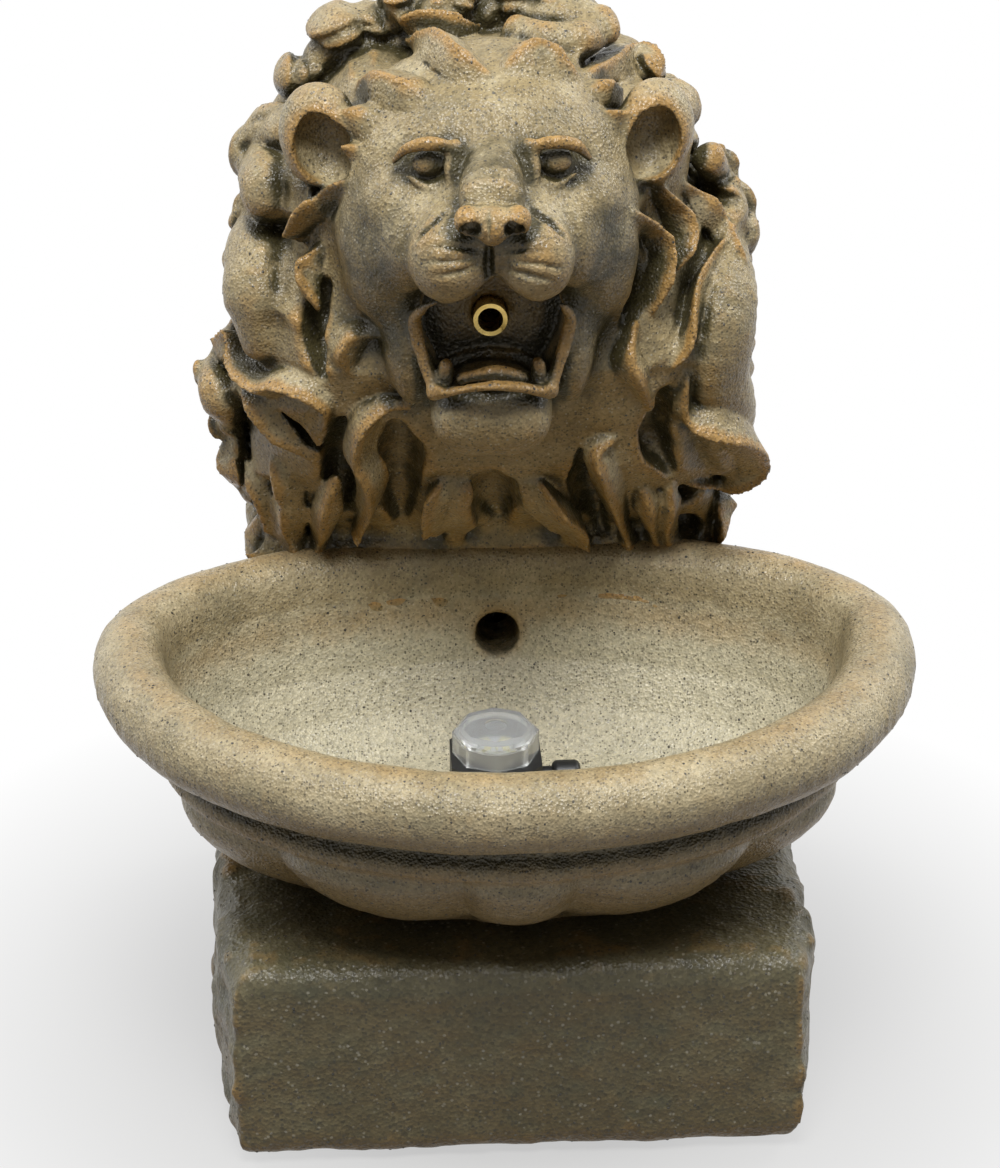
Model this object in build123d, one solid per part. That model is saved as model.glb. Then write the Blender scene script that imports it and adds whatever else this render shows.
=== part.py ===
from build123d import *
import os
from math import cos, hypot, radians, sin

# Lion-head garden fountain: a rough stone plinth that holds the water and the pump, an oval basin with
# a rolled rim and a lobed underside, and a hollow lion's head whose open mouth carries a brass spout.
# Water rises from the pump through a hose, falls into the basin and runs back through the overflow hole.
# Millimetres, +Z up, the lion faces -Y, and the origin is on the floor at the middle of the overall box.

# Fits
FIT = 0.3                     # between castings that are set against each other
SLIDE_FIT = 0.2               # round pieces that are pushed in or on by hand
RUNNING_GAP = 0.05            # round a turning shaft or pin

# Spout and riser hose
SPOUT_DIAMETER = 10.0
SPOUT_BORE = 7.4
SPOUT_LENGTH = 41.0
SPOUT_PROUD = 5.0             # how far it stands out of the back of the mouth
SPOUT_Z = 234.0
SEAL_DIAMETER = 16.0
SEAL_LENGTH = 7.0
HOSE_WALL = 1.5
HOSE_GRIP = 12.0              # pushed over the spout and over the pump's nozzle
HOSE_BEND = 26.0
HOSE_ROOM = 2.4               # round the hose, in its channel behind the basin
HOSE_BORE = SPOUT_DIAMETER + 2 * SLIDE_FIT
HOSE_DIAMETER = HOSE_BORE + 2 * HOSE_WALL
HOSE_CHANNEL = HOSE_DIAMETER + 2 * HOSE_ROOM

# Basin, by its reach from its widest line
BASIN_WIDTH = 250.0
BASIN_FRONT_REACH = 109.5
BASIN_BACK_REACH = 71.5
RIM_RADIUS = 11.5
RIM_Z = 128.0                 # middle of the rolled rim
BOWL_FLOOR_Z = 76.0
BOWL_FLOOR_INSET = 58.0       # from the outside of the rim to the flat of the bowl's floor
BEDDING = 2.0                 # adhesive under the foot
FOOT_INSET = 54.0
FOOT_HEIGHT = 6.0
COVE_INSET = 18.0             # hollow moulding under the rim
BEAD_INSET = 15.5
BEAD_RADIUS = 1.8
BEAD_Z = 104.0
LOBES_PER_SIDE = 5            # beside the narrow lobe in front
FRONT_LOBE_ANGLE = 20.0
LOBE_CREASE = 4.0             # how deep the creases between lobes are
OVERFLOW_DIAMETER = 14.0
OVERFLOW_Z = 110.0

# Depths, from the front of the rim to the back plate
NECK_WALL = 7.0               # of the head's column, behind the basin
PLATE_THICKNESS = 6.0
OVERALL_DEPTH = BASIN_FRONT_REACH + BASIN_BACK_REACH + NECK_WALL + HOSE_CHANNEL + PLATE_THICKNESS
FRONT_Y = -OVERALL_DEPTH / 2
BACK_Y = OVERALL_DEPTH / 2
BASIN_Y = FRONT_Y + BASIN_FRONT_REACH
BASIN_BACK_Y = BASIN_Y + BASIN_BACK_REACH
NECK_Y = BASIN_BACK_Y + NECK_WALL
RISER_Y = NECK_Y + HOSE_CHANNEL / 2
PLATE_Y = BACK_Y - PLATE_THICKNESS

# Foot pads
PAD_DIAMETER = 18.0
PAD_THICKNESS = 3.0
PAD_RECESS = 1.5
PAD_INSET = 20.0              # from the plinth's sides to a pad's middle

# Plinth
PLINTH_BOTTOM = PAD_THICKNESS - PAD_RECESS
PLINTH_TOP = 66.0
PLINTH_SETBACK = 26.0         # from the front of the basin to the front of the plinth
PLINTH_WIDTH = 184.0
PLINTH_FRONT_WIDTH = 168.0
PLINTH_FLARE = 34.0           # depth over which the front widens to the full width
PLINTH_DRAFT = 1.6            # degrees
PLINTH_WALL = 7.0
PLINTH_FLOOR = 7.0
PLINTH_DECK = 8.0
PLINTH_CORNER = 5.0
PLINTH_EDGE = 4.0
PLINTH_FRONT_Y = FRONT_Y + PLINTH_SETBACK
TANK_FLOOR_Z = PLINTH_BOTTOM + PLINTH_FLOOR
FOOT_Z = PLINTH_TOP + BEDDING

# Lion's head, with depths from the plane of its eyes
HEAD_X = -4.0                 # set a little to one side of the basin's middle
HEAD_DEPTH = 106.0
EYES_Y = BACK_Y - HEAD_DEPTH
COLUMN_WIDTH = 150.0
COLUMN_UNDER_RIM = 31.0       # how far the column stands in under the basin's rim
COLUMN_TOP_Z = 190.0
COLUMN_CORNER = 8.0
MANE_WIDTH = 172.0
MANE_SPINE_LOW = 200.0        # the stretch of the middle line towards which the outline is drawn in
MANE_SPINE_HIGH = 262.0
FACE_Z = 254.0
EYE_Z = 284.0
EYE_X = 18.5
EYE_RADIUS = 5.5
SOCKET_RADIUS = 7.5
EAR_X = 48.0
EAR_DEPTH = 26.0
EAR_Z = 285.0
MOUTH_WIDTH = 42.0
MOUTH_TOP_Z = 256.0
MOUTH_BOTTOM_Z = 214.0
MOUTH_DEPTH = 14.0            # of its back wall, behind the eyes
HOLLOW_DEPTH = 32.0           # of the hollow's front, behind the eyes
HOLLOW_FLOOR_Z = 205.0

# Half of the mane's outline, from the crown to the foot: share of half its width, and height
MANE_OUTLINE = [
    (0.00, 311.0),
    (0.17, 313.0),
    (0.34, 310.0),
    (0.50, 301.0),
    (0.65, 290.0),
    (0.77, 279.0),
    (0.83, 265.0),
    (0.87, 251.0),
    (0.93, 238.0),
    (0.98, 224.0),
    (0.99, 208.0),
    (0.99, 194.0),
    (0.96, 178.0),
    (0.93, 162.0),
    (0.88, 147.0),
    (0.84, 131.0),
    (0.45, 122.0),
    (0.00, 120.0),
]

# Stations of the mane, from the back: depth, how far the outline is drawn in, and the share of its height
# that is left below the face
MANE_STATIONS = [
    (106.0, 5.0, 1.00),
    (84.0, 3.0, 1.00),
    (62.0, 0.0, 1.00),
    (42.0, 4.0, 0.92),
    (30.0, 7.0, 0.84),
    (20.0, 15.0, 0.72),
    (11.0, 30.0, 0.62),
]

# Rings of locks on each side: count, first and last place on the outline, thickness, depth of root and of tip
LOCK_RINGS = [
    (5, 0.04, 0.42, 6.0, 21.0, 43.0),
    (8, 0.06, 0.74, 6.5, 42.0, 68.0),
]
LOCK_FALL = 0.05              # how far a lock runs down the outline from its root to its tip

# Masses of the face: distance from its middle, depth, height, half sizes, and turns in degrees
LEVEL = (0, 0, 0)
MIDDLE_MASSES = {
    "skull": (0.0, 30.0, 270.0, (46.0, 38.0, 40.0), LEVEL),
    "forehead": (0.0, 22.0, 280.0, (38.0, 29.0, 25.0), LEVEL),
    "bridge": (0.0, -13.0, EYE_Z, (11.0, 25.0, 9.0), (6, 0, 0)),
    "muzzle": (0.0, -14.0, 266.0, (25.0, 21.0, 17.0), LEVEL),
    "nose": (0.0, -33.0, 277.0, (11.0, 6.0, 8.0), LEVEL),
    "chin": (0.0, 2.0, MOUTH_BOTTOM_Z - 7.0, (20.0, 18.0, 16.0), LEVEL),
}
SIDE_MASSES = {
    "upper_lip": (11.5, -19.0, MOUTH_TOP_Z + 6.0, (13.5, 15.0, 13.0), LEVEL),
    "brow": (EYE_X - 1.5, -3.0, EYE_Z + 8.0, (13.0, 6.0, 4.5), (0, 12, -20)),
    "cheek": (31.0, 9.0, FACE_Z, (15.0, 18.0, 25.0), LEVEL),
    "jaw": (MOUTH_WIDTH / 2 + 3.0, 9.0, 226.0, (9.0, 15.0, 22.0), LEVEL),
    "ear": (EAR_X, EAR_DEPTH, EAR_Z, (13.5, 8.5, 16.0), (0, 25, 20)),
}
SOCKET = (EYE_X, -6.0, EYE_Z, (SOCKET_RADIUS, SOCKET_RADIUS, SOCKET_RADIUS), LEVEL)
EYEBALL = (EYE_X, -0.5, EYE_Z, (EYE_RADIUS, EYE_RADIUS, EYE_RADIUS), LEVEL)
EAR_CUP = (EAR_X, EAR_DEPTH - 6.0, EAR_Z, (9.0, 8.0, 12.0), (0, 25, 20))

# Back plate and access cover
PLATE_WIDTH = 136.0
PLATE_TOP_Z = 290.0
PLATE_ARCH = 50.0             # rise of the rounded top
PLATE_LEDGE = 5.0             # that the plate rests on
HATCH_WIDTH = 78.0
HATCH_HEIGHT = 76.0
HATCH_CORNER = 6.0
HATCH_Z = 116.0               # middle of the hatch
COVER_FLANGE = 6.0
COVER_FLANGE_THICKNESS = 3.0
FINGER_HOLE = 18.0
FINGER_HOLE_RISE = 22.0       # above the middle of the hatch

# Cord grommet
GROMMET_X = 54.0
GROMMET_Z = 84.0
GROMMET_BORE = 6.4
GROMMET_DIAMETER = 12.0
GROMMET_FLANGE = 16.0
GROMMET_LIP = 2.0

# Pump: its rotor lies along X and its nozzle stands under the riser hose
CUP_HEIGHT = 5.0
CUP_DIAMETER = 11.0
CUP_NECK = 5.0
CUP_INSET = 6.5               # from the motor's sides
MOTOR_LENGTH = 33.0
MOTOR_HEIGHT = 36.0
MOTOR_WALL = 1.8
MOTOR_CORNER = 2.5
VOLUTE_DIAMETER = 26.0
VOLUTE_LENGTH = 14.0
VOLUTE_WALL = 2.0
NOZZLE_WALL = 1.5
NOZZLE_INSET = 0.8            # inside the volute's round
NOZZLE_RISE = 13.0            # above the motor
AXIS_RISE = 22.0              # rotor's axis above the motor's underside
INTAKE_EYE = 11.0
HUB_DIAMETER = 7.0
HUB_LENGTH = 3.5
SPIDER_RIBS = 3
SPIDER_RIB = 1.6
SPIGOT_LENGTH = 3.0
HOOD_LENGTH = 13.0
HOOD_WALL = 1.6
HOOD_SLOTS = 8
SLOT_WIDTH = 2.2
SLOT_INNER = 5.6
SLOT_OUTER = 9.8
DIAL_DIAMETER = 22.0
DIAL_THICKNESS = 2.0
DIAL_TAB = 4.0
DIAL_PIN = 4.0
DIAL_PIN_HEAD = 6.4
DIAL_HEAD_THICKNESS = 1.0
SHAFT_DIAMETER = 2.4
ROTOR_DIAMETER = 11.0
ROTOR_LENGTH = 22.0
ROTOR_PLAY = 1.0              # along the shaft
WELL_GAP = 0.7
WELL_WALL = 1.0
WELL_BOTTOM = 4.2
IMPELLER_DIAMETER = 18.0
IMPELLER_DISC = 1.5
IMPELLER_BLADES = 6
BLADE_THICKNESS = 1.2
BLADE_LENGTH = 5.0
IMPELLER_NECK = 9.0
BUSH_DIAMETER = 5.0
BUSH_LENGTH = 3.0
STACK_THICKNESS = 10.0        # stator plates, along the shaft
STACK_LIMB = 3.5
STACK_YOKE = 4.0
COIL_DEPTH = 2.6
COIL_LENGTH = 12.0

# Underwater lamp, standing on the bowl's floor
LAMP_X = -3.0
LAMP_SETBACK = 2.5            # in front of the basin's widest line
LAMP_WIDTH = 28.0
LAMP_CHAMFER = 5.0
LAMP_HEIGHT = 18.0
LAMP_FLOOR = 6.0
LAMP_WELL = 17.0
COLLAR_DIAMETER = 22.4
COLLAR_HEIGHT = 4.0
COLLAR_WALL = 1.2
BOARD_THICKNESS = 1.6
BOARD_DROP = 3.0              # of the board's underside, below the body's top face
LED_WIDTH = 3.0
LED_HEIGHT = 1.4
LED_RING = 12.0
LED_COUNT = 6
GASKET_THICKNESS = 1.4
LENS_WIDTH = 27.0             # across the corners
LENS_SIDES = 8
LENS_HEIGHT = 9.6
LENS_BEVEL = 2.2
LENS_TOP_WALL = 2.6
LENS_DIMPLE = 7.0
LENS_DIMPLE_DEPTH = 0.8
GLAND_NECK = 6.5
GLAND_NECK_LENGTH = 3.5
GLAND_NUT = 10.0
GLAND_NUT_LENGTH = 9.0
GLAND_ROUND = 2.0
GLAND_BORE = 3.2
GLAND_Z = 9.0                 # above the lamp's underside

# Places that follow from these sizes
SPOUT_FRONT_Y = EYES_Y + MOUTH_DEPTH - SPOUT_PROUD
SPOUT_BACK_Y = SPOUT_FRONT_Y + SPOUT_LENGTH
HOLLOW_Y = EYES_Y + HOLLOW_DEPTH
COLUMN_FRONT_Y = BASIN_BACK_Y - COLUMN_UNDER_RIM
WELL_FRONT_Y = BASIN_BACK_Y - BEAD_INSET + NECK_WALL
VOLUTE_RADIUS = VOLUTE_DIAMETER / 2
NOZZLE_DIAMETER = SPOUT_DIAMETER
MOTOR_BOTTOM_Z = TANK_FLOOR_Z + CUP_HEIGHT
AXIS_Z = MOTOR_BOTTOM_Z + AXIS_RISE
NOZZLE_TOP_Z = MOTOR_BOTTOM_Z + MOTOR_HEIGHT + NOZZLE_RISE
AXIS_Y = RISER_Y - VOLUTE_RADIUS + NOZZLE_DIAMETER / 2 + NOZZLE_INSET
VOLUTE_FRONT_X = HEAD_X - VOLUTE_LENGTH / 2
MOTOR_X = HEAD_X + VOLUTE_LENGTH / 2
CHAMBER_FRONT_X = VOLUTE_FRONT_X + VOLUTE_WALL
DISC_X = CHAMBER_FRONT_X + HUB_LENGTH - VOLUTE_WALL + ROTOR_PLAY / 2 + BLADE_LENGTH
MAGNET_X = MOTOR_X + VOLUTE_WALL
WELL_END_X = MAGNET_X + ROTOR_LENGTH + ROTOR_PLAY
WELL_RADIUS = ROTOR_DIAMETER / 2 + WELL_GAP
WELL_OUTSIDE = WELL_RADIUS + WELL_WALL
HOOD_X = VOLUTE_FRONT_X - FIT
HOOD_FRONT_X = HOOD_X - HOOD_LENGTH
DIAL_X = HOOD_FRONT_X - FIT
SPIGOT_RADIUS = VOLUTE_RADIUS - HOOD_WALL - SLIDE_FIT
STACK_X = MAGNET_X + (ROTOR_LENGTH - STACK_THICKNESS) / 2
STACK_INNER = WELL_OUTSIDE + SLIDE_FIT
YOKE_TOP_Z = AXIS_Z - STACK_INNER - COIL_DEPTH - 2 * SLIDE_FIT
LAMP_Y = BASIN_Y - LAMP_SETBACK
LAMP_TOP_Z = BOWL_FLOOR_Z + LAMP_HEIGHT
COLLAR_TOP_Z = LAMP_TOP_Z + COLLAR_HEIGHT
BOARD_Z = LAMP_TOP_Z - BOARD_DROP

BOTTOM = (Align.CENTER, Align.CENTER, Align.MIN)


def along_x(x, profile, length):
    """A profile drawn round the rotor's axis, extruded from x towards +X."""
    plane = Plane(origin=(x, AXIS_Y, AXIS_Z), x_dir=(0, 1, 0), z_dir=(1, 0, 0))
    return extrude(plane * profile, length)


def along_y(x, z, start_y, end_y, profile):
    """A profile seen from the front, on an axis at x and z, extruded between two depths."""
    plane = Plane(origin=(x, end_y, z), x_dir=(1, 0, 0), z_dir=(0, -1, 0))
    return extrude(plane * profile, end_y - start_y)


def ring(outer, inner):
    return Circle(outer) - Circle(inner)


# Foot pads
def pad_centres():
    half = PLINTH_WIDTH / 2 - PAD_INSET
    return [(x, y) for x in (-half, half) for y in (PLINTH_FRONT_Y + PAD_INSET, BACK_Y - PAD_INSET)]


def foot_pads():
    pad = Cylinder(PAD_DIAMETER / 2, PAD_THICKNESS, align=BOTTOM)
    return Compound([Pos(x, y, 0) * pad for x, y in pad_centres()])


# Plinth
def plinth_plan(inset):
    half = PLINTH_WIDTH / 2 - inset
    half_front = PLINTH_FRONT_WIDTH / 2 - inset
    front = PLINTH_FRONT_Y + inset
    back = BACK_Y - inset
    flare = PLINTH_FRONT_Y + PLINTH_FLARE
    right = [(half_front, front), (half, flare), (half, back)]
    left = [(-half, back), (-half, flare), (-half_front, front)]
    points = right + left
    return make_face(Polyline(*points, close=True))


def plinth_well():
    """The opening in the deck that the pump is lowered through, under the head's hollow column."""
    width = PLATE_WIDTH - 2 * PLATE_LEDGE
    depth = BACK_Y - PLINTH_WALL - WELL_FRONT_Y
    well = Pos(HEAD_X, WELL_FRONT_Y + depth / 2, TANK_FLOOR_Z) * Box(width, depth, PLINTH_TOP, align=BOTTOM)
    return fillet(well.edges().filter_by(Axis.Z), PLINTH_CORNER)


def plinth():
    height = PLINTH_TOP - PLINTH_BOTTOM
    block = Pos(0, 0, PLINTH_BOTTOM) * extrude(plinth_plan(0), height, taper=PLINTH_DRAFT)
    uprights = block.edges().filter_by(lambda e: e.bounding_box().size.Z > height / 2)
    block = fillet(uprights, PLINTH_CORNER)
    block = fillet(block.faces().sort_by(Axis.Z)[-1].edges(), PLINTH_EDGE)
    tank_height = PLINTH_TOP - PLINTH_DECK - TANK_FLOOR_Z
    tank = Pos(0, 0, TANK_FLOOR_Z) * extrude(plinth_plan(PLINTH_WALL), tank_height)
    tank = fillet(tank.edges().filter_by(Axis.Z), PLINTH_CORNER)
    recess = Cylinder(PAD_DIAMETER / 2, PAD_THICKNESS, align=BOTTOM)
    recesses = [Pos(x, y, 0) * recess for x, y in pad_centres()]
    return block - tank - plinth_well() - recesses


# Basin
def oval_edges(inset):
    width = BASIN_WIDTH / 2 - inset
    front = EllipticalCenterArc((0, BASIN_Y), width, BASIN_FRONT_REACH - inset, start_angle=180, arc_size=180)
    back = EllipticalCenterArc((0, BASIN_Y), width, BASIN_BACK_REACH - inset, start_angle=0, arc_size=180)
    return [front, back]


def oval(inset, z):
    """The basin's plan at an inset from the outside of its rim: a deep front half and a shallow back half."""
    return Pos(0, 0, z) * make_face(oval_edges(inset))


def oval_point(inset, angle, z):
    """A point of that plan, at an angle from the front in degrees."""
    a = radians(angle)
    reach = BASIN_FRONT_REACH if cos(a) > 0 else BASIN_BACK_REACH
    return Vector((BASIN_WIDTH / 2 - inset) * sin(a), BASIN_Y - (reach - inset) * cos(a), z)


def lobed_section(inset, z, crease):
    """The plan with round lobes between creases: a narrow lobe in front and wider ones round the sides."""
    first = FRONT_LOBE_ANGLE / 2
    step = (180 - first) / LOBES_PER_SIDE
    right = [first + step * k for k in range(LOBES_PER_SIDE + 1)]
    creases = [-a for a in reversed(right[:-1])] + right
    creases.append(creases[0] + 360)
    arcs = []
    for start, end in zip(creases, creases[1:]):
        crown = oval_point(inset, (start + end) / 2, z)
        ends = [oval_point(inset + crease, angle, z) for angle in (start, end)]
        arcs.append(ThreePointArc(ends[0], crown, ends[1]))
    return make_face(arcs)


def rim_and_bead(grow):
    """The rolled rim and the bead below its cove, swept round the basin."""
    path = Wire(oval_edges(0))
    across = Plane(origin=path @ 0, x_dir=(1, 0, 0), z_dir=path % 0)
    rim = Pos(RIM_RADIUS, RIM_Z) * Circle(RIM_RADIUS + grow)
    bead = Pos(BEAD_INSET + BEAD_RADIUS, BEAD_Z) * Circle(BEAD_RADIUS + grow)
    return [sweep(across * profile, path=path) for profile in (rim, bead)]


def basin_outside(grow=0.0):
    """The basin's outer form, filled in, and grown where it is used to cut its seat."""
    belly_top = BEAD_Z - BEAD_RADIUS / 2
    drop = belly_top - FOOT_Z
    shoulder = BEAD_INSET + BEAD_RADIUS
    run = FOOT_INSET - shoulder
    belly = loft([
        lobed_section(shoulder - grow, belly_top, LOBE_CREASE / 3),
        lobed_section(shoulder + 0.10 * run - grow, belly_top - 0.32 * drop, LOBE_CREASE),
        lobed_section(shoulder + 0.44 * run - grow, belly_top - 0.72 * drop, LOBE_CREASE),
        lobed_section(shoulder + 0.73 * run - grow, belly_top - 0.93 * drop - grow, LOBE_CREASE / 2),
    ])
    foot = extrude(oval(FOOT_INSET - grow, FOOT_Z), FOOT_HEIGHT)
    cove = extrude(oval(COVE_INSET - grow, belly_top - BEAD_RADIUS), RIM_Z - belly_top)
    return belly.fuse(foot, cove, *rim_and_bead(grow))


def bowl_hollow():
    """The inside of the bowl: steep under the rim, then sweeping in to a flat floor."""
    depth = RIM_Z - BOWL_FLOOR_Z
    lip = 2 * RIM_RADIUS - 1.0
    run = BOWL_FLOOR_INSET - lip
    lip_z = RIM_Z + RIM_RADIUS / 3
    bowl = loft([
        oval(lip, lip_z),
        oval(lip + 0.04 * run, BOWL_FLOOR_Z + 0.77 * depth),
        oval(lip + 0.14 * run, BOWL_FLOOR_Z + 0.50 * depth),
        oval(lip + 0.36 * run, BOWL_FLOOR_Z + 0.25 * depth),
        oval(lip + 0.75 * run, BOWL_FLOOR_Z + 0.06 * depth),
        oval(BOWL_FLOOR_INSET, BOWL_FLOOR_Z),
    ])
    return bowl + extrude(oval(lip, lip_z), RIM_RADIUS)


def overflow_bore():
    return along_y(0, OVERFLOW_Z, BASIN_Y + BASIN_BACK_REACH / 3, PLATE_Y, Circle(OVERFLOW_DIAMETER / 2))


def basin():
    return basin_outside() - bowl_hollow() - overflow_bore()


def basin_bedding():
    return extrude(oval(FOOT_INSET, PLINTH_TOP), BEDDING)


# Lion's head
def ellipsoid(x, depth, z, radii, turn):
    """A rounded mass of the face, at x from the face's middle and at a depth behind the eyes."""
    return Pos(HEAD_X + x, EYES_Y + depth, z) * Rot(*turn) * scale(Sphere(1), by=radii)


def both_sides(shapes):
    """The shapes and their mirror images across the middle of the face."""
    return shapes + [mirror(shape, about=Plane.YZ.offset(HEAD_X)) for shape in shapes]


def mane_station(depth):
    """How far the outline is drawn in at a depth, and its share of height below the face."""
    for behind, ahead in zip(MANE_STATIONS, MANE_STATIONS[1:]):
        if depth >= ahead[0]:
            break
    t = (depth - ahead[0]) / (behind[0] - ahead[0])
    return [a + t * (b - a) for a, b in zip(ahead[1:], behind[1:])]


def outline_at(place):
    """A point of the mane's half outline, from 0 at the crown to 1 at the foot."""
    spans = len(MANE_OUTLINE) - 1
    k = min(int(place * spans), spans - 1)
    t = place * spans - k
    (xa, za), (xb, zb) = MANE_OUTLINE[k:k + 2]
    return MANE_WIDTH / 2 * (xa + t * (xb - xa)), za + t * (zb - za)


def mane_point(depth, place, side=1, sink=0.0):
    """A point of the mane at a depth: its outline, drawn in to the middle line and up under the face."""
    inset, squash = mane_station(depth)
    x, z = outline_at(place)
    spine_z = min(max(z, MANE_SPINE_LOW), MANE_SPINE_HIGH)
    drawn = 1 - (inset + sink) / hypot(x, z - spine_z)
    z = spine_z + (z - spine_z) * drawn
    z = z + max(FACE_Z - z, 0) * (1 - squash)
    return Vector(HEAD_X + side * x * drawn, EYES_Y + depth, z)


def mane_section(depth):
    """The closed outline at a depth: down one side from the crown and up the other."""
    spans = len(MANE_OUTLINE) - 1
    right = [mane_point(depth, k / spans) for k in range(spans + 1)]
    left = [mane_point(depth, k / spans, -1) for k in range(spans - 1, 0, -1)]
    return make_face(Spline(*right, *left, periodic=True))


def mane():
    return loft([mane_section(station[0]) for station in MANE_STATIONS])


def lock(start, crown, end, thickness):
    """One lock of hair: a bent horn that swells and then runs to a point."""
    path = Spline(start, crown, end)
    sections = []
    for place, swell in ((0, 0.5), (0.35, 1.0), (0.7, 0.75), (1, 0.2)):
        plane = Plane(origin=path @ place, x_dir=(0, 0, 1), z_dir=path % place)
        sections.append(plane * Ellipse(thickness * swell, 0.8 * thickness * swell))
    return loft(sections)


def lock_ring(count, first, last, thickness, root, tip):
    """Locks on one side of the face, lying along the mane from a root beside the face to a tip behind it."""
    locks = []
    for k in range(count):
        place = first + (last - first) * k / (count - 1)
        start = mane_point(root, place, sink=thickness / 2)
        crown = mane_point((root + tip) / 2, place + LOCK_FALL / 2)
        end = mane_point(tip, place + LOCK_FALL)
        locks.append(lock(start, crown, end, thickness))
    return locks


def face_masses():
    middle = [ellipsoid(*mass) for mass in MIDDLE_MASSES.values()]
    sides = [ellipsoid(*mass) for mass in SIDE_MASSES.values()]
    return middle + both_sides(sides)


def face_hollows():
    """The mouth, the eye sockets and the cups of the ears."""
    half = MOUTH_WIDTH / 2
    height = MOUTH_TOP_Z - MOUTH_BOTTOM_Z
    outline = Spline(
        (0, MOUTH_TOP_Z),
        (0.75 * half, MOUTH_TOP_Z - 0.2 * height),
        (half, MOUTH_TOP_Z - 0.4 * height),
        (0.8 * half, MOUTH_BOTTOM_Z + 0.2 * height),
        (0.5 * half, MOUTH_BOTTOM_Z),
        (-0.5 * half, MOUTH_BOTTOM_Z),
        (-0.8 * half, MOUTH_BOTTOM_Z + 0.2 * height),
        (-half, MOUTH_TOP_Z - 0.4 * height),
        (-0.75 * half, MOUTH_TOP_Z - 0.2 * height),
        periodic=True,
    )
    mouth = along_y(HEAD_X, 0, FRONT_Y, EYES_Y + MOUTH_DEPTH, make_face(outline))
    return [mouth] + both_sides([ellipsoid(*SOCKET), ellipsoid(*EAR_CUP)])


def plate_outline(inset):
    """The outline of the back plate: straight sides under a rounded top."""
    half = PLATE_WIDTH / 2 - inset
    spring = PLATE_TOP_Z - PLATE_ARCH
    arch = EllipticalCenterArc((0, spring), half, PLATE_ARCH - inset, start_angle=0, arc_size=180)
    foot = Polyline((-half, spring), (-half, PLINTH_TOP), (half, PLINTH_TOP), (half, spring))
    return make_face([arch, *foot.edges()])


def head_hollow():
    """The space behind the face and down the column: the plate's ledge, cut by a side profile."""
    outline = along_y(HEAD_X, 0, EYES_Y, BACK_Y, plate_outline(PLATE_LEDGE))
    deep_z = HOLLOW_FLOOR_Z
    crest_z = RIM_Z + 2 * RIM_RADIUS
    profile = Polyline(
        (WELL_FRONT_Y, PLINTH_TOP),
        (WELL_FRONT_Y, BEAD_Z - RIM_RADIUS),
        (NECK_Y, RIM_Z - RIM_RADIUS),
        (NECK_Y, crest_z),
        (HOLLOW_Y, deep_z),
        (HOLLOW_Y, PLATE_TOP_Z - PLATE_ARCH / 2),
        (HOLLOW_Y + PLATE_ARCH / 2, PLATE_TOP_Z),
        (BACK_Y, PLATE_TOP_Z),
        (BACK_Y, PLINTH_TOP),
        close=True,
    )
    side = Plane(origin=(HEAD_X - PLATE_WIDTH / 2, 0, 0), x_dir=(0, 1, 0), z_dir=(1, 0, 0))
    return outline & extrude(side * make_face(profile), PLATE_WIDTH)


def head_column():
    depth = BACK_Y - COLUMN_FRONT_Y
    column = Box(COLUMN_WIDTH, depth, COLUMN_TOP_Z - PLINTH_TOP, align=BOTTOM)
    column = Pos(HEAD_X, COLUMN_FRONT_Y + depth / 2, PLINTH_TOP) * column
    return fillet(column.edges().filter_by(Axis.Z), COLUMN_CORNER)


def spout_bores():
    """The tube's hole in the back of the mouth, with a wider seat for its seal inside."""
    tube = along_y(HEAD_X, SPOUT_Z, EYES_Y, HOLLOW_Y, Circle(SPOUT_DIAMETER / 2 + SLIDE_FIT))
    seat = along_y(HEAD_X, SPOUT_Z, HOLLOW_Y - SEAL_LENGTH, HOLLOW_Y, Circle(SEAL_DIAMETER / 2 + SLIDE_FIT))
    return [tube, seat]


def lion_head():
    locks = []
    for lock_row in LOCK_RINGS:
        locks += both_sides(lock_ring(*lock_row))
    casting = mane().fuse(head_column(), *face_masses(), *locks)
    casting = casting - face_hollows()
    casting = casting.fuse(*both_sides([ellipsoid(*EYEBALL)]))
    rebate = along_y(HEAD_X, 0, PLATE_Y, BACK_Y, plate_outline(0))
    return casting - [head_hollow(), rebate, basin_outside(FIT), overflow_bore(), *spout_bores()]


# Back plate, access cover and grommet
def hatch(grow):
    opening = Rectangle(HATCH_WIDTH + 2 * grow, HATCH_HEIGHT + 2 * grow)
    return fillet(opening.vertices(), HATCH_CORNER + max(grow, 0))


def back_plate():
    plate = along_y(HEAD_X, 0, PLATE_Y, BACK_Y, plate_outline(FIT))
    opening = along_y(HEAD_X, HATCH_Z, PLATE_Y, BACK_Y, hatch(0))
    rebate = along_y(HEAD_X, HATCH_Z, BACK_Y - COVER_FLANGE_THICKNESS, BACK_Y, hatch(COVER_FLANGE))
    cord_hole = along_y(HEAD_X + GROMMET_X, GROMMET_Z, PLATE_Y, BACK_Y, Circle(GROMMET_DIAMETER / 2))
    lip_seat = Circle(GROMMET_FLANGE / 2 + SLIDE_FIT)
    cord_seat = along_y(HEAD_X + GROMMET_X, GROMMET_Z, BACK_Y - GROMMET_LIP, BACK_Y, lip_seat)
    return plate - [opening, rebate, cord_hole, cord_seat]


def access_cover():
    plug = along_y(HEAD_X, HATCH_Z, PLATE_Y, BACK_Y, hatch(-FIT))
    flange = along_y(HEAD_X, HATCH_Z, BACK_Y - COVER_FLANGE_THICKNESS, BACK_Y, hatch(COVER_FLANGE - FIT))
    finger = along_y(HEAD_X, HATCH_Z + FINGER_HOLE_RISE, PLATE_Y, BACK_Y, Circle(FINGER_HOLE / 2))
    return plug + flange - finger


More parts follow.
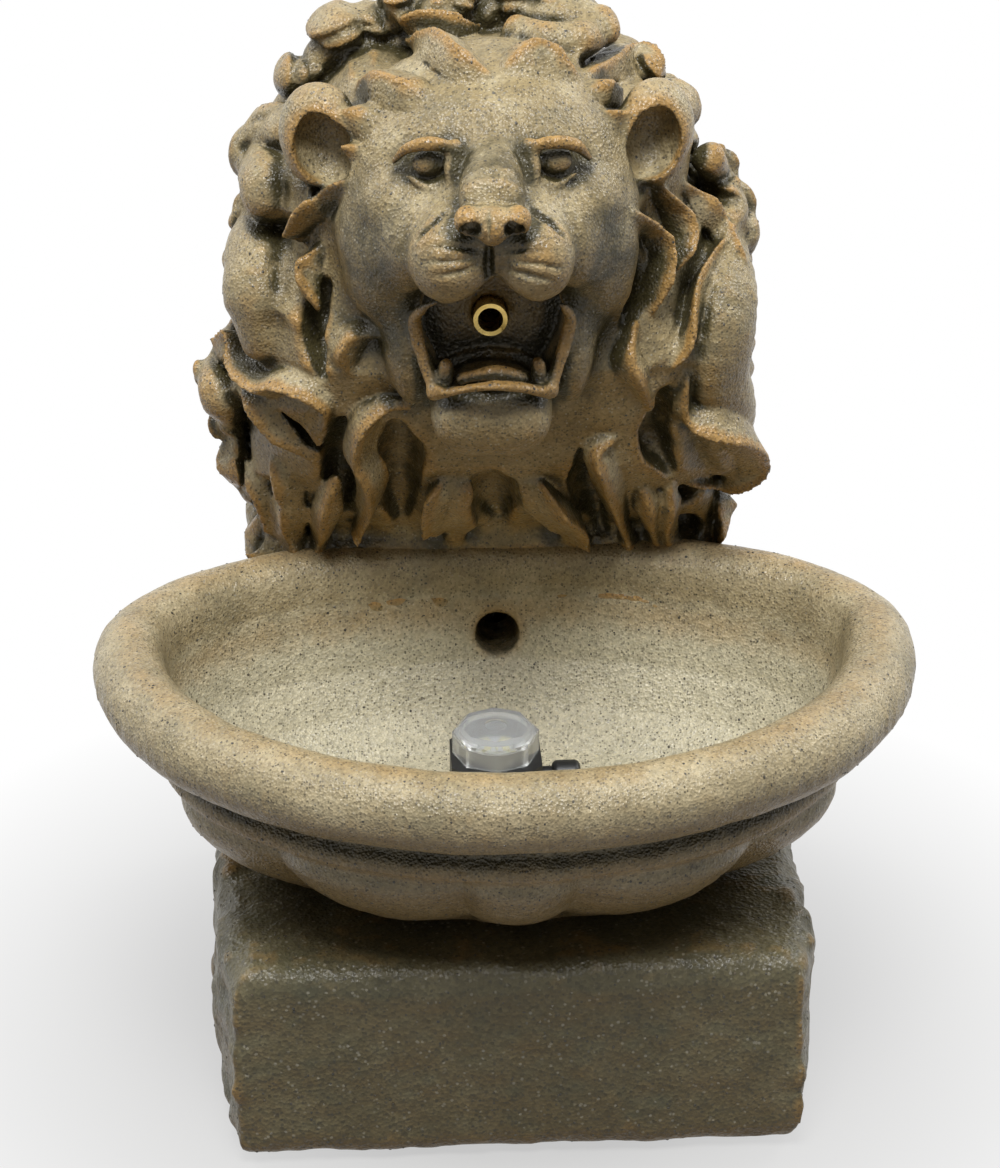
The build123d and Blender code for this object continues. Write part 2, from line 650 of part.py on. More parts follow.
def cord_grommet():
    """A rubber ring with a lip on each side of the plate."""
    place = (HEAD_X + GROMMET_X, GROMMET_Z)
    bore = GROMMET_BORE / 2
    neck = along_y(*place, PLATE_Y, BACK_Y, ring(GROMMET_DIAMETER / 2 - SLIDE_FIT, bore))
    outer = along_y(*place, BACK_Y - GROMMET_LIP, BACK_Y, ring(GROMMET_FLANGE / 2, bore))
    inner = along_y(*place, PLATE_Y - GROMMET_LIP, PLATE_Y, ring(GROMMET_FLANGE / 2, bore))
    return neck + outer + inner


# Spout, seal and riser hose
def spout_tube():
    return along_y(HEAD_X, SPOUT_Z, SPOUT_FRONT_Y, SPOUT_BACK_Y, ring(SPOUT_DIAMETER / 2, SPOUT_BORE / 2))


def spout_seal():
    profile = ring(SEAL_DIAMETER / 2, SPOUT_DIAMETER / 2 + SLIDE_FIT / 2)
    return along_y(HEAD_X, SPOUT_Z, HOLLOW_Y - SEAL_LENGTH, HOLLOW_Y, profile)


def riser_hose():
    points = [
        (HEAD_X, RISER_Y, NOZZLE_TOP_Z - HOSE_GRIP),
        (HEAD_X, RISER_Y, SPOUT_Z),
        (HEAD_X, SPOUT_BACK_Y - HOSE_GRIP, SPOUT_Z),
    ]
    path = FilletPolyline(*points, radius=HOSE_BEND)
    section = Plane(origin=path @ 0, z_dir=path % 0) * ring(HOSE_DIAMETER / 2, HOSE_BORE / 2)
    return sweep(section, path=path)


# Pump
def motor_block(inset):
    """The motor's rounded outline, looking along the rotor, with the rotor above its middle."""
    width = VOLUTE_DIAMETER - 2 * inset
    height = MOTOR_HEIGHT - 2 * inset
    return Pos(0, MOTOR_HEIGHT / 2 - AXIS_RISE) * RectangleRounded(width, height, MOTOR_CORNER - inset / 2)


def cup_centres():
    half = VOLUTE_RADIUS - CUP_INSET
    ends = (MOTOR_X + CUP_INSET, MOTOR_X + MOTOR_LENGTH - CUP_INSET)
    return [(x, AXIS_Y + side * half) for x in ends for side in (-1, 1)]


def pump_housing():
    """A cup for the stator, with the rotor's well standing in it and its open end sealed by resin."""
    block = along_x(MOTOR_X, motor_block(0), MOTOR_LENGTH)
    pocket = along_x(MOTOR_X + VOLUTE_WALL, motor_block(MOTOR_WALL), MOTOR_LENGTH)
    well = along_x(MOTOR_X, Circle(WELL_OUTSIDE), WELL_END_X + WELL_BOTTOM - MOTOR_X)
    bore = along_x(MOTOR_X, Circle(WELL_RADIUS), WELL_END_X - MOTOR_X)
    bush_seat = along_x(WELL_END_X, Circle(BUSH_DIAMETER / 2), BUSH_LENGTH)
    return block - pocket + well - bore - bush_seat


def pump_potting():
    start = WELL_END_X + WELL_BOTTOM
    return along_x(start, motor_block(MOTOR_WALL + SLIDE_FIT / 2), MOTOR_X + MOTOR_LENGTH - start)


def nozzle(radius):
    rise = NOZZLE_TOP_Z - AXIS_Z
    return Pos(HEAD_X, RISER_Y, AXIS_Z) * Cylinder(radius, rise, align=BOTTOM)


def pump_volute():
    """The impeller's chamber: an inlet eye with a three-rib spider, a spigot and a nozzle off to one side."""
    body = along_x(VOLUTE_FRONT_X, Circle(VOLUTE_RADIUS), VOLUTE_LENGTH)
    spigot_ring = ring(SPIGOT_RADIUS, SPIGOT_RADIUS - HOOD_WALL)
    spigot = along_x(VOLUTE_FRONT_X - SPIGOT_LENGTH, spigot_ring, SPIGOT_LENGTH)
    chamber = along_x(CHAMBER_FRONT_X, Circle(VOLUTE_RADIUS - VOLUTE_WALL), VOLUTE_LENGTH)
    eye = along_x(VOLUTE_FRONT_X, Circle(INTAKE_EYE / 2), VOLUTE_WALL)
    shell = body + nozzle(NOZZLE_DIAMETER / 2) - chamber - eye - nozzle(NOZZLE_DIAMETER / 2 - NOZZLE_WALL)
    hub = along_x(VOLUTE_FRONT_X, Circle(HUB_DIAMETER / 2), HUB_LENGTH)
    rib = Pos(INTAKE_EYE / 4, 0) * Rectangle(INTAKE_EYE / 2 + SPIDER_RIB, SPIDER_RIB)
    turns = [Rot(0, 0, 360 * k / SPIDER_RIBS) for k in range(SPIDER_RIBS)]
    ribs = [along_x(VOLUTE_FRONT_X, turn * rib, VOLUTE_WALL) for turn in turns]
    bush_seat = along_x(VOLUTE_FRONT_X + HUB_LENGTH - BUSH_LENGTH, Circle(BUSH_DIAMETER / 2), BUSH_LENGTH)
    return shell.fuse(spigot, hub, *ribs) - bush_seat


def slots(profile):
    slot = Pos((SLOT_INNER + SLOT_OUTER) / 2, 0) * SlotOverall(SLOT_OUTER - SLOT_INNER, SLOT_WIDTH)
    return profile - [Rot(0, 0, 360 * k / HOOD_SLOTS) * slot for k in range(HOOD_SLOTS)]


def intake_cover():
    """A slotted hood that slips over the volute's spigot."""
    wall = along_x(HOOD_FRONT_X, ring(VOLUTE_RADIUS, VOLUTE_RADIUS - HOOD_WALL), HOOD_LENGTH)
    front = slots(ring(VOLUTE_RADIUS, DIAL_PIN / 2 + RUNNING_GAP))
    return wall + along_x(HOOD_FRONT_X, front, HOOD_WALL)


def flow_dial():
    """A slotted disc on a pin, with a tab for the finger: turned, it closes the hood's slots."""
    disc = slots(Circle(DIAL_DIAMETER / 2))
    tab = Pos(0, DIAL_DIAMETER / 2) * Rectangle(DIAL_TAB, DIAL_TAB)
    plate = along_x(DIAL_X - DIAL_THICKNESS, disc + tab, DIAL_THICKNESS)
    head_x = HOOD_FRONT_X + HOOD_WALL + SLIDE_FIT
    pin = along_x(DIAL_X, Circle(DIAL_PIN / 2), head_x - DIAL_X)
    head = along_x(head_x, Circle(DIAL_PIN_HEAD / 2), DIAL_HEAD_THICKNESS)
    return plate + pin + head


def shaft_bore():
    return Circle(SHAFT_DIAMETER / 2 + RUNNING_GAP)


def impeller():
    """Straight vanes on a disc, with a neck that reaches the magnet."""
    hub = along_x(DISC_X - BLADE_LENGTH, Circle(SHAFT_DIAMETER), BLADE_LENGTH)
    disc = along_x(DISC_X, Circle(IMPELLER_DIAMETER / 2), IMPELLER_DISC)
    neck = along_x(DISC_X, Circle(IMPELLER_NECK / 2), MAGNET_X - DISC_X)
    vane = Pos(IMPELLER_DIAMETER / 4, 0) * Rectangle(IMPELLER_DIAMETER / 2, BLADE_THICKNESS)
    turns = [Rot(0, 0, 360 * k / IMPELLER_BLADES) for k in range(IMPELLER_BLADES)]
    vanes = [along_x(DISC_X - BLADE_LENGTH, turn * vane, BLADE_LENGTH) for turn in turns]
    bore = along_x(DISC_X - BLADE_LENGTH, shaft_bore(), MAGNET_X - DISC_X + BLADE_LENGTH)
    return hub.fuse(disc, neck, *vanes) - bore


def rotor_magnet():
    return along_x(MAGNET_X, Circle(ROTOR_DIAMETER / 2) - shaft_bore(), ROTOR_LENGTH)


def bush_starts():
    return (VOLUTE_FRONT_X + HUB_LENGTH - BUSH_LENGTH, WELL_END_X)


def rotor_shaft():
    front, back = bush_starts()
    return along_x(front, Circle(SHAFT_DIAMETER / 2), back + BUSH_LENGTH - front)


def shaft_bushes():
    profile = ring(BUSH_DIAMETER / 2 - RUNNING_GAP, SHAFT_DIAMETER / 2 + RUNNING_GAP)
    return Compound([along_x(start, profile, BUSH_LENGTH) for start in bush_starts()])


def stator_core():
    """A stack of U-shaped plates: two limbs beside the rotor's well and a yoke below it."""
    yoke_top = YOKE_TOP_Z - AXIS_Z
    outer = STACK_INNER + STACK_LIMB
    bottom = yoke_top - STACK_YOKE
    top = WELL_OUTSIDE
    points = [(-outer, bottom), (outer, bottom), (outer, top), (STACK_INNER, top)]
    points += [(STACK_INNER, yoke_top), (-STACK_INNER, yoke_top), (-STACK_INNER, top), (-outer, top)]
    return along_x(STACK_X, make_face(Polyline(*points, close=True)), STACK_THICKNESS)


def stator_coil():
    """The winding round the yoke, between the limbs."""
    window = SLIDE_FIT / 2
    middle = Pos(STACK_X + STACK_THICKNESS / 2, AXIS_Y, YOKE_TOP_Z - STACK_YOKE / 2)
    outside = Box(STACK_THICKNESS + 2 * COIL_DEPTH, COIL_LENGTH, STACK_YOKE + 2 * COIL_DEPTH)
    outside = fillet(outside.edges().filter_by(Axis.Y), COIL_DEPTH / 2)
    inside = Box(STACK_THICKNESS + 2 * window, COIL_LENGTH, STACK_YOKE + 2 * window)
    return middle * (outside - inside)


def suction_cups():
    cup = Cone(CUP_DIAMETER / 2, CUP_NECK / 2, CUP_HEIGHT, align=BOTTOM)
    hollow = Cone(CUP_DIAMETER / 2 - 1, CUP_NECK / 4, CUP_HEIGHT / 2, align=BOTTOM)
    return Compound([Pos(x, y, TANK_FLOOR_Z) * (cup - hollow) for x, y in cup_centres()])


# Underwater lamp
def on_lamp(z, profile, height):
    return Pos(LAMP_X, LAMP_Y, z) * extrude(profile, height)


def collar_bore():
    return COLLAR_DIAMETER / 2 - COLLAR_WALL


def gland_channel(radius):
    plane = Plane(origin=(LAMP_X, LAMP_Y, BOWL_FLOOR_Z + GLAND_Z), x_dir=(0, 1, 0), z_dir=(1, 0, 0))
    return extrude(plane * Circle(radius), LAMP_WIDTH / 2)


def lamp_body():
    """A square cup with cut corners, a step for the lamp's board and a collar for its lens."""
    block = on_lamp(BOWL_FLOOR_Z, Rectangle(LAMP_WIDTH, LAMP_WIDTH), LAMP_HEIGHT)
    block = chamfer(block.edges().filter_by(Axis.Z), LAMP_CHAMFER)
    collar = on_lamp(LAMP_TOP_Z, Circle(COLLAR_DIAMETER / 2), COLLAR_HEIGHT)
    well = on_lamp(BOWL_FLOOR_Z + LAMP_FLOOR, Circle(LAMP_WELL / 2), LAMP_HEIGHT)
    board_seat = on_lamp(BOARD_Z, Circle(collar_bore()), LAMP_HEIGHT)
    return block + collar - well - board_seat - gland_channel(GLAND_BORE / 2)


def lamp_board():
    return on_lamp(BOARD_Z, Circle(collar_bore() - SLIDE_FIT), BOARD_THICKNESS)


def lamp_leds():
    led = Rectangle(LED_WIDTH, LED_WIDTH)
    places = PolarLocations(LED_RING / 2, LED_COUNT)
    return Compound([on_lamp(BOARD_Z + BOARD_THICKNESS, place * led, LED_HEIGHT) for place in places])


def lamp_seal():
    return on_lamp(COLLAR_TOP_Z, ring(COLLAR_DIAMETER / 2, collar_bore()), GASKET_THICKNESS)


def lamp_lens():
    """An eight-sided clear cap with a bevelled top and a shallow dimple, over the collar and its gasket."""
    start = LAMP_TOP_Z + SLIDE_FIT
    octagon = Rot(0, 0, 90) * RegularPolygon(LENS_WIDTH / 2, LENS_SIDES)
    cap = on_lamp(start, octagon, LENS_HEIGHT)
    cap = chamfer(cap.faces().sort_by(Axis.Z)[-1].edges(), LENS_BEVEL)
    skirt_top = COLLAR_TOP_Z + GASKET_THICKNESS + SLIDE_FIT / 2
    skirt = on_lamp(start, Circle(COLLAR_DIAMETER / 2 + SLIDE_FIT), skirt_top - start)
    chamber = on_lamp(start, Circle(collar_bore()), LENS_HEIGHT - LENS_TOP_WALL)
    dimple = on_lamp(start + LENS_HEIGHT - LENS_DIMPLE_DEPTH, Circle(LENS_DIMPLE / 2), LENS_DIMPLE_DEPTH)
    return cap - skirt - chamber - dimple


def lamp_gland():
    """The stub where the lamp's lead goes in: a neck and a round-nosed nut."""
    start = LAMP_X + LAMP_WIDTH / 2
    plane = Plane(origin=(start, LAMP_Y, BOWL_FLOOR_Z + GLAND_Z), x_dir=(0, 1, 0), z_dir=(1, 0, 0))
    neck = extrude(plane * Circle(GLAND_NECK / 2), GLAND_NECK_LENGTH)
    nut = extrude(plane.offset(GLAND_NECK_LENGTH) * Circle(GLAND_NUT / 2), GLAND_NUT_LENGTH)
    nut = fillet(nut.edges().filter_by(GeomType.CIRCLE), GLAND_ROUND)
    bore = extrude(plane * Circle(GLAND_BORE / 2), GLAND_NECK_LENGTH + GLAND_NUT_LENGTH)
    return neck + nut - bore


PIECES = [
    plinth, basin, basin_bedding, lion_head, back_plate, access_cover, cord_grommet, foot_pads,
    spout_tube, spout_seal, riser_hose,
    pump_housing, pump_potting, pump_volute, intake_cover, flow_dial, impeller, rotor_magnet, rotor_shaft,
    shaft_bushes, stator_core, stator_coil, suction_cups,
    lamp_body, lamp_board, lamp_leds, lamp_seal, lamp_lens, lamp_gland,
]

os.makedirs("parts", exist_ok=True)
for piece in PIECES:
    export_step(piece(), f"parts/{piece.__name__}.step")
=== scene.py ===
import math

import bmesh
import bpy
import numpy as np
import openvdb
from mathutils import Matrix, Vector


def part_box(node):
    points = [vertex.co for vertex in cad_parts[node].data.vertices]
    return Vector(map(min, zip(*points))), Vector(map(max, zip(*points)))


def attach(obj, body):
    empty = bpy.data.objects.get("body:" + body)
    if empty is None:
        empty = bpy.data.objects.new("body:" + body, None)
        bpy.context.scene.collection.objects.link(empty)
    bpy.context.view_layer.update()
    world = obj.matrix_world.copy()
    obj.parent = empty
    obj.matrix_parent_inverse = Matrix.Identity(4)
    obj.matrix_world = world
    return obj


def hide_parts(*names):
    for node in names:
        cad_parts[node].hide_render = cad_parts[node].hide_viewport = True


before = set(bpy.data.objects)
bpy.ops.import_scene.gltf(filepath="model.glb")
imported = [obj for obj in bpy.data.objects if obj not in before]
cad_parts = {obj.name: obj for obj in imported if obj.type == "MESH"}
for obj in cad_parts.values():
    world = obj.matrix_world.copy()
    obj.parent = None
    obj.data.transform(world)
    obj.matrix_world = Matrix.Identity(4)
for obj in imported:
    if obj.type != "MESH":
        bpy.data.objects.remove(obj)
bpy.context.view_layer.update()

# Shapes are worked out in millimetres in the frame of the CAD model, and become metres in their meshes.
MM = 0.001

# The photograph's camera: where it stands, and its lens in pixels of the 1000 by 1168 frame
PHOTO_WIDTH = 1000
PHOTO_HEIGHT = 1168
CAMERA_AZIMUTH = math.radians(-3)
CAMERA_ELEVATION = math.radians(26)
CAMERA_DISTANCE = 900
CAMERA_TARGET = np.array([-1.5, 3.5, 150.8])
FOCAL_PIXELS = 2972
SENSOR = 36

# How finely the castings are sculpted
HEAD_STEP = 0.9
BASIN_STEP = 1.0
PLINTH_STEP = 1.2
CASTING_TRIANGLES = 190000
FAR = 9.0

# Lumps of each casting's roughness: their size, how far they stand out, and a seed
HEAD_LUMPS = ((9, 0.5, 7), (3.2, 0.16, 8))
BASIN_LUMPS = ((22, 0.5, 27),)
BOWL_LUMPS = ((7, 0.22, 28), (2.4, 0.1, 29))
HEWN_LUMPS = ((15, 2.2, 47), (6, 1.3, 48))
PLINTH_LUMPS = ((17, 0.7, 49), (5, 0.35, 50), (2.4, 0.15, 51))


def new_piece(name, data):
    """A new object in the scene."""
    piece = bpy.data.objects.new(name, data)
    bpy.context.scene.collection.objects.link(piece)
    return piece


def millimetres(node):
    """A node's lowest and highest corners."""
    low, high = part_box(node)
    return np.array(low) / MM, np.array(high) / MM


# Camera
def camera_axes():
    ca, sa = math.cos(CAMERA_AZIMUTH), math.sin(CAMERA_AZIMUTH)
    ce, se = math.cos(CAMERA_ELEVATION), math.sin(CAMERA_ELEVATION)
    towards = np.array([sa * ce, -ca * ce, se])
    right = np.array([ca, sa, 0.0])
    up = np.cross(towards, right)
    return right, up, towards


def camera_place():
    return CAMERA_TARGET + CAMERA_DISTANCE * camera_axes()[2]


def sight_line(px, py):
    """The direction in which a pixel of the photograph looks."""
    right, up, towards = camera_axes()
    across = (px - PHOTO_WIDTH / 2) / FOCAL_PIXELS
    rise = (PHOTO_HEIGHT / 2 - py) / FOCAL_PIXELS
    line = across * right + rise * up - towards
    return line / np.linalg.norm(line)


def seen_at(px, py, y):
    """The point at depth y that a pixel shows."""
    place = camera_place()
    line = sight_line(px, py)
    return place + line * (y - place[1]) / line[1]


# Sculpting with distances: a field is negative inside the form and positive outside it
def blend_min(a, b, k):
    h = np.clip(0.5 + 0.5 * (b - a) / k, 0, 1)
    return b + (a - b) * h - k * h * (1 - h)


def blend_max(a, b, k):
    return -blend_min(-a, -b, k)


def reach_along(direction, x, y, z):
    """How far offsets reach along a direction."""
    dx, dy, dz = np.float32(direction)
    return x * dx + y * dy + z * dz


class Clay:
    """A block of distances on a regular grid."""

    def __init__(self, low, high, step):
        self.low = np.array(low, float)
        self.step = step
        count = np.ceil((np.array(high) - self.low) / step).astype(int) + 1
        self.axes = [(self.low[k] + step * np.arange(count[k])).astype(np.float32) for k in range(3)]
        self.field = np.full(count, FAR, np.float32)

    def window(self, low, high):
        cuts = []
        for k in range(3):
            first = max(int((low[k] - self.low[k]) / self.step), 0)
            last = min(int((high[k] - self.low[k]) / self.step) + 2, len(self.axes[k]))
            cuts.append(slice(first, max(last, first)))
        x, y, z = (axis[cut] for axis, cut in zip(self.axes, cuts))
        return tuple(cuts), x[:, None, None], y[None, :, None], z[None, None, :]

    def add(self, blend, *forms):
        for form in forms:
            cuts, x, y, z = self.window(form.low - blend - 2, form.high + blend + 2)
            self.field[cuts] = blend_min(self.field[cuts], form.distance(x, y, z), blend)

    def cut(self, blend, *forms):
        for form in forms:
            cuts, x, y, z = self.window(form.low - blend - 2, form.high + blend + 2)
            self.field[cuts] = blend_max(self.field[cuts], -form.distance(x, y, z), blend)

    def roughen(self, table, where=1.0):
        """Moves the surface in and out by smooth random fields with lumps of given sizes."""
        for size, amount, seed in table:
            moved = amount * where * lumps(self.field.shape, size / self.step, seed)
            self.field += moved.astype(np.float32)

    def steps(self, reach):
        return max(1, round(reach / self.step))

    def sharpen(self, reach, amount, where=1.0):
        """Lifts what stands out and deepens what lies in."""
        near = np.clip(self.field, -FAR, FAR)
        self.field += (amount * where * (near - blurred(near, self.steps(reach)))).astype(np.float32)


class Ball:
    """An ellipsoid, turned about X, then Y, then Z in degrees."""

    def __init__(self, centre, radii, turn=(0, 0, 0)):
        self.centre = np.array(centre, float)
        self.radii = np.array(radii, float)
        rx, ry, rz = (Matrix.Rotation(math.radians(t), 3, a) for t, a in zip(turn, "XYZ"))
        self.turn = np.array(rz @ ry @ rx)
        reach = np.sqrt(((self.turn * self.radii) ** 2).sum(axis=1))
        self.low = self.centre - reach
        self.high = self.centre + reach

    def distance(self, x, y, z):
        dx, dy, dz = x - self.centre[0], y - self.centre[1], z - self.centre[2]
        near = 0
        steep = 0
        for k, r in enumerate(self.radii):
            along = reach_along(self.turn[:, k], dx, dy, dz)
            near = near + (along / np.float32(r)) ** 2
            steep = steep + (along / np.float32(r * r)) ** 2
        near = np.sqrt(near)
        return near * (near - 1) / np.sqrt(steep + np.float32(1e-9))


class Lock:
    """A tapered lock, ridge or groove along a curve: round in section at a crest of 2, sharper below."""

    def __init__(self, points, normals, widths, heights, crest=2.0):
        self.points = np.array(points, float)
        self.normals = np.array(normals, float)
        self.widths = np.maximum(widths, 0.3)
        self.heights = np.maximum(heights, 0.3)
        self.crest = crest
        reach = max(max(widths), max(heights))
        self.low = self.points.min(axis=0) - reach
        self.high = self.points.max(axis=0) + reach

    def distance(self, x, y, z):
        best = None
        for k in range(len(self.points) - 1):
            d = self.stretch(k, x, y, z)
            best = d if best is None else np.minimum(best, d)
        return best

    def stretch(self, k, x, y, z):
        """Distance to the stretch between two points of the curve."""
        run = self.points[k + 1] - self.points[k]
        length = np.float32(float(run @ run) + 1e-9)
        offset = [v - np.float32(start) for v, start in zip((x, y, z), self.points[k])]
        t = np.clip(reach_along(run, *offset) / length, 0, 1)
        offset = [v - t * np.float32(r) for v, r in zip(offset, run)]
        lift, wide = self.lift_and_width(k, run, offset)
        w = np.float32(self.widths[k]) + t * np.float32(self.widths[k + 1] - self.widths[k])
        h = np.float32(self.heights[k]) + t * np.float32(self.heights[k + 1] - self.heights[k])
        power = np.float32(self.crest)
        near = ((wide / w) ** power + (np.abs(lift) / h) ** power) ** (1 / power)
        return (near - 1) * np.minimum(w, h)

    def lift_and_width(self, k, run, offset):
        """How far offsets from the curve stand off the form, and how far they lie to the side."""
        n = self.normals[k] + self.normals[k + 1]
        n = n / np.linalg.norm(n)
        side = np.cross(run, n)
        side = side / np.linalg.norm(side)
        lift = reach_along(n, *offset)
        across = reach_along(side, *offset)
        rest = np.maximum(sum(v * v for v in offset) - lift * lift - across * across, 0)
        return lift, np.sqrt(across * across + rest)


def smooth_curve(points, count):
    """Points along a smooth curve through given points."""
    p = np.array(points, float)
    p = np.vstack([2 * p[0] - p[1], p, 2 * p[-1] - p[-2]])
    spans = len(p) - 3
    out = []
    for s in np.linspace(0, spans, count):
        k = min(int(s), spans - 1)
        t = s - k
        a, b, c, d = p[k:k + 4]
        straight = 2 * b + (c - a) * t
        bend = (2 * a - 5 * b + 4 * c - d) * t ** 2
        sway = (3 * b - a - 3 * c + d) * t ** 3
        out.append(0.5 * (straight + bend + sway))
    return np.array(out)


def lumps(shape, size, seed):
    """A smooth random field, in lumps of a given size in grid steps."""
    counts = [int(n / size) + 3 for n in shape]
    values = np.random.default_rng(seed).uniform(-1, 1, counts).astype(np.float32)
    for axis, n in enumerate(shape):
        s = np.arange(n) / size
        k = s.astype(int)
        t = (s - k).astype(np.float32)
        t = t * t * (3 - 2 * t)
        t = t.reshape([-1 if a == axis else 1 for a in range(3)])
        values = np.take(values, k, axis) * (1 - t) + np.take(values, k + 1, axis) * t
    return values


def blurred(field, radius):
    """The field averaged over a box, three times over."""
    out = field
    for _ in range(3):
        for axis in range(3):
            pad = [(radius + 1, radius) if a == axis else (0, 0) for a in range(3)]
            run = np.cumsum(np.pad(out, pad, mode="edge"), axis=axis, dtype=np.float32)
            size = out.shape[axis]
            upper = np.take(run, range(2 * radius + 1, 2 * radius + 1 + size), axis)
            lower = np.take(run, range(0, size), axis)
            out = (upper - lower) / (2 * radius + 1)
    return out


def facing(clay, field, points, reach):
    """Which way the form faces at points."""
    slopes = []
    for axis in np.eye(3) * reach:
        ahead = sampled(clay, field, points + axis)
        slopes.append(ahead - sampled(clay, field, points - axis))
    normals = np.array(slopes).T
    return normals / (np.linalg.norm(normals, axis=1)[:, None] + 1e-6)


def sampled(clay, field, points):
    """The field's values at points, between grid steps."""
    s = (points - clay.low) / clay.step
    k = np.clip(s.astype(int), 0, np.array(field.shape) - 2)
    t = (s - k).astype(np.float32)
    total = 0
    for corner in np.ndindex(2, 2, 2):
        weight = np.prod([t[:, a] if corner[a] else 1 - t[:, a] for a in range(3)], axis=0)
        total = total + weight * field[tuple((k + corner).T)]
    return total


# Lion's head
HEAD_X = sum(c[0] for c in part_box("spout_tube")) / 2 / MM
SPOUT_Z = sum(c[2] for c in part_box("spout_tube")) / 2 / MM
BACK_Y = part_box("back_plate")[1][1] / MM
MANE_DEEPEST_Y = 62
EYE_X = 17.6
EYE_Z = 285.6
FACE_TURN = 0.045
EAR_X = 48
EAR_Z = 285
FACE_CENTRE = np.array([HEAD_X, 30, 255])


def face_x(y):
    """The middle of the face at a depth: it looks a little to its right."""
    return HEAD_X + FACE_TURN * min(y, 0)


def sided(x, y, z, radii, turn=(0, 0, 0)):
    """A rounded mass of the face and its mirror image."""
    flipped = (turn[0], -turn[1], -turn[2])
    return [Ball((face_x(y) + x, y, z), radii, turn), Ball((face_x(y) - x, y, z), radii, flipped)]


def middle(y, z, radii, turn=(0, 0, 0)):
    return Ball((face_x(y), y, z), radii, turn)


def face_lock(points, widths, heights, flip=False, crest=2.0):
    """A ridge or groove of the face, by points from its middle, with a width and a height for each."""
    side = -1 if flip else 1
    count = 4 * len(points)
    path = smooth_curve([(face_x(y) + side * x, y, z) for x, y, z in points], count)
    places = np.linspace(0, 1, len(points))
    fine = np.linspace(0, 1, count)
    normals = [Vector(p - FACE_CENTRE).normalized() for p in path]
    return Lock(path, normals, np.interp(fine, places, widths), np.interp(fine, places, heights), crest)


# The outside of the mane in the photograph, by pixels from the left foot of the hair over the crown
MANE_EDGE_PIXELS = [
    (261, 560), (253, 510), (249, 482), (235, 468), (231, 411), (211, 376), (219, 340), (223, 285),
    (223, 253), (256, 208), (245, 186), (253, 142), (271, 113), (306, 79), (338, 43), (370, 30),
    (400, 32), (396, 8), (440, 4), (490, 14), (530, 10), (601, 6), (603, 36), (623, 51),
    (654, 63), (662, 82), (694, 95), (708, 122), (706, 166), (724, 194), (728, 225), (749, 245),
    (765, 269), (759, 304), (757, 356), (753, 415), (749, 466), (731, 480), (729, 510), (735, 560),
]
MANE_EDGE_INSET = 5.0
SIGHT_START_Y = -45
MANE_ROUND = 48
MANE_BACK_TAPER = 7
MANE_REACH_HEIGHTS = (136, 146, 158, 180, 216)
MANE_REACHES = (3, 10, 24, 37, 50)


def mane_edge():
    """The mane's outline on the plane of its widest part."""
    return np.array([seen_at(px, py, MANE_DEEPEST_Y)[[0, 2]] for px, py in MANE_EDGE_PIXELS])


class ManeForm:
    """The broad form of the mane: the outline, domed forward to the face."""
    low = np.array([HEAD_X - 100, 2, 110])
    high = np.array([HEAD_X + 100, BACK_Y + 8, 330])

    def distance(self, x, y, z):
        edge = outline_distance(mane_edge(), x[:, :, 0], z[:, 0, :])[:, None, :] + MANE_EDGE_INSET
        behind = np.clip((y - MANE_DEEPEST_Y) / (BACK_Y - MANE_DEEPEST_Y), 0, 1)
        edge = edge + MANE_BACK_TAPER * behind ** 2
        inward = np.maximum(edge + MANE_ROUND, 0) / MANE_ROUND
        reach = np.interp(z, MANE_REACH_HEIGHTS, MANE_REACHES)
        ahead = np.maximum(MANE_DEEPEST_Y - y, 0) / reach
        near = np.sqrt(inward ** 2 + ahead ** 2)
        steep = np.sqrt((inward / MANE_ROUND) ** 2 + (ahead / reach) ** 2) + 1e-6
        return np.maximum(near * (near - 1) / steep, y - BACK_Y).astype(np.float32)


class BlockForm:
    """A box with rounded edges."""

    def __init__(self, low, high, edge):
        self.low = np.array(low, float)
        self.high = np.array(high, float)
        self.edge = edge

    def distance(self, x, y, z):
        middle_point = (self.low + self.high) / 2
        half = (self.high - self.low) / 2 - self.edge
        q = [np.abs(v - c) - h for v, c, h in zip((x, y, z), middle_point, half)]
        outside = np.sqrt(sum(np.maximum(v, 0) ** 2 for v in q))
        inside = np.minimum(np.maximum(np.maximum(q[0], q[1]), q[2]), 0)
        return (outside + inside - self.edge).astype(np.float32)


class Prism:
    """An outline seen from the front, between two depths."""

    def __init__(self, outline, front, back):
        self.outline = np.array(outline, float)
        self.front = front
        self.back = back
        (x0, z0), (x1, z1) = self.outline.min(axis=0), self.outline.max(axis=0)
        self.low = np.array([x0, front, z0])
        self.high = np.array([x1, back, z1])

    def distance(self, x, y, z):
        flat = outline_distance(self.outline, x[:, :, 0], z[:, 0, :]).astype(np.float32)
        depth = np.maximum(self.front - y, y - self.back)
        return np.maximum(flat[:, None, :], depth).astype(np.float32)


def outline_distance(outline, x, z):
    """Distance to a closed outline, negative inside it."""
    best = None
    inside = np.zeros(np.broadcast(x, z).shape, bool)
    for a, b in zip(outline, np.roll(outline, -1, axis=0)):
        run = b - a
        t = np.clip(((x - a[0]) * run[0] + (z - a[1]) * run[1]) / (run @ run), 0, 1)
        d = (x - a[0] - t * run[0]) ** 2 + (z - a[1] - t * run[1]) ** 2
        best = d if best is None else np.minimum(best, d)
        crosses = (a[1] > z) != (b[1] > z)
        inside ^= crosses & (x < run[0] * (z - a[1]) / (run[1] if run[1] else 1e-9) + a[0])
    return np.where(inside, -1, 1) * np.sqrt(best)


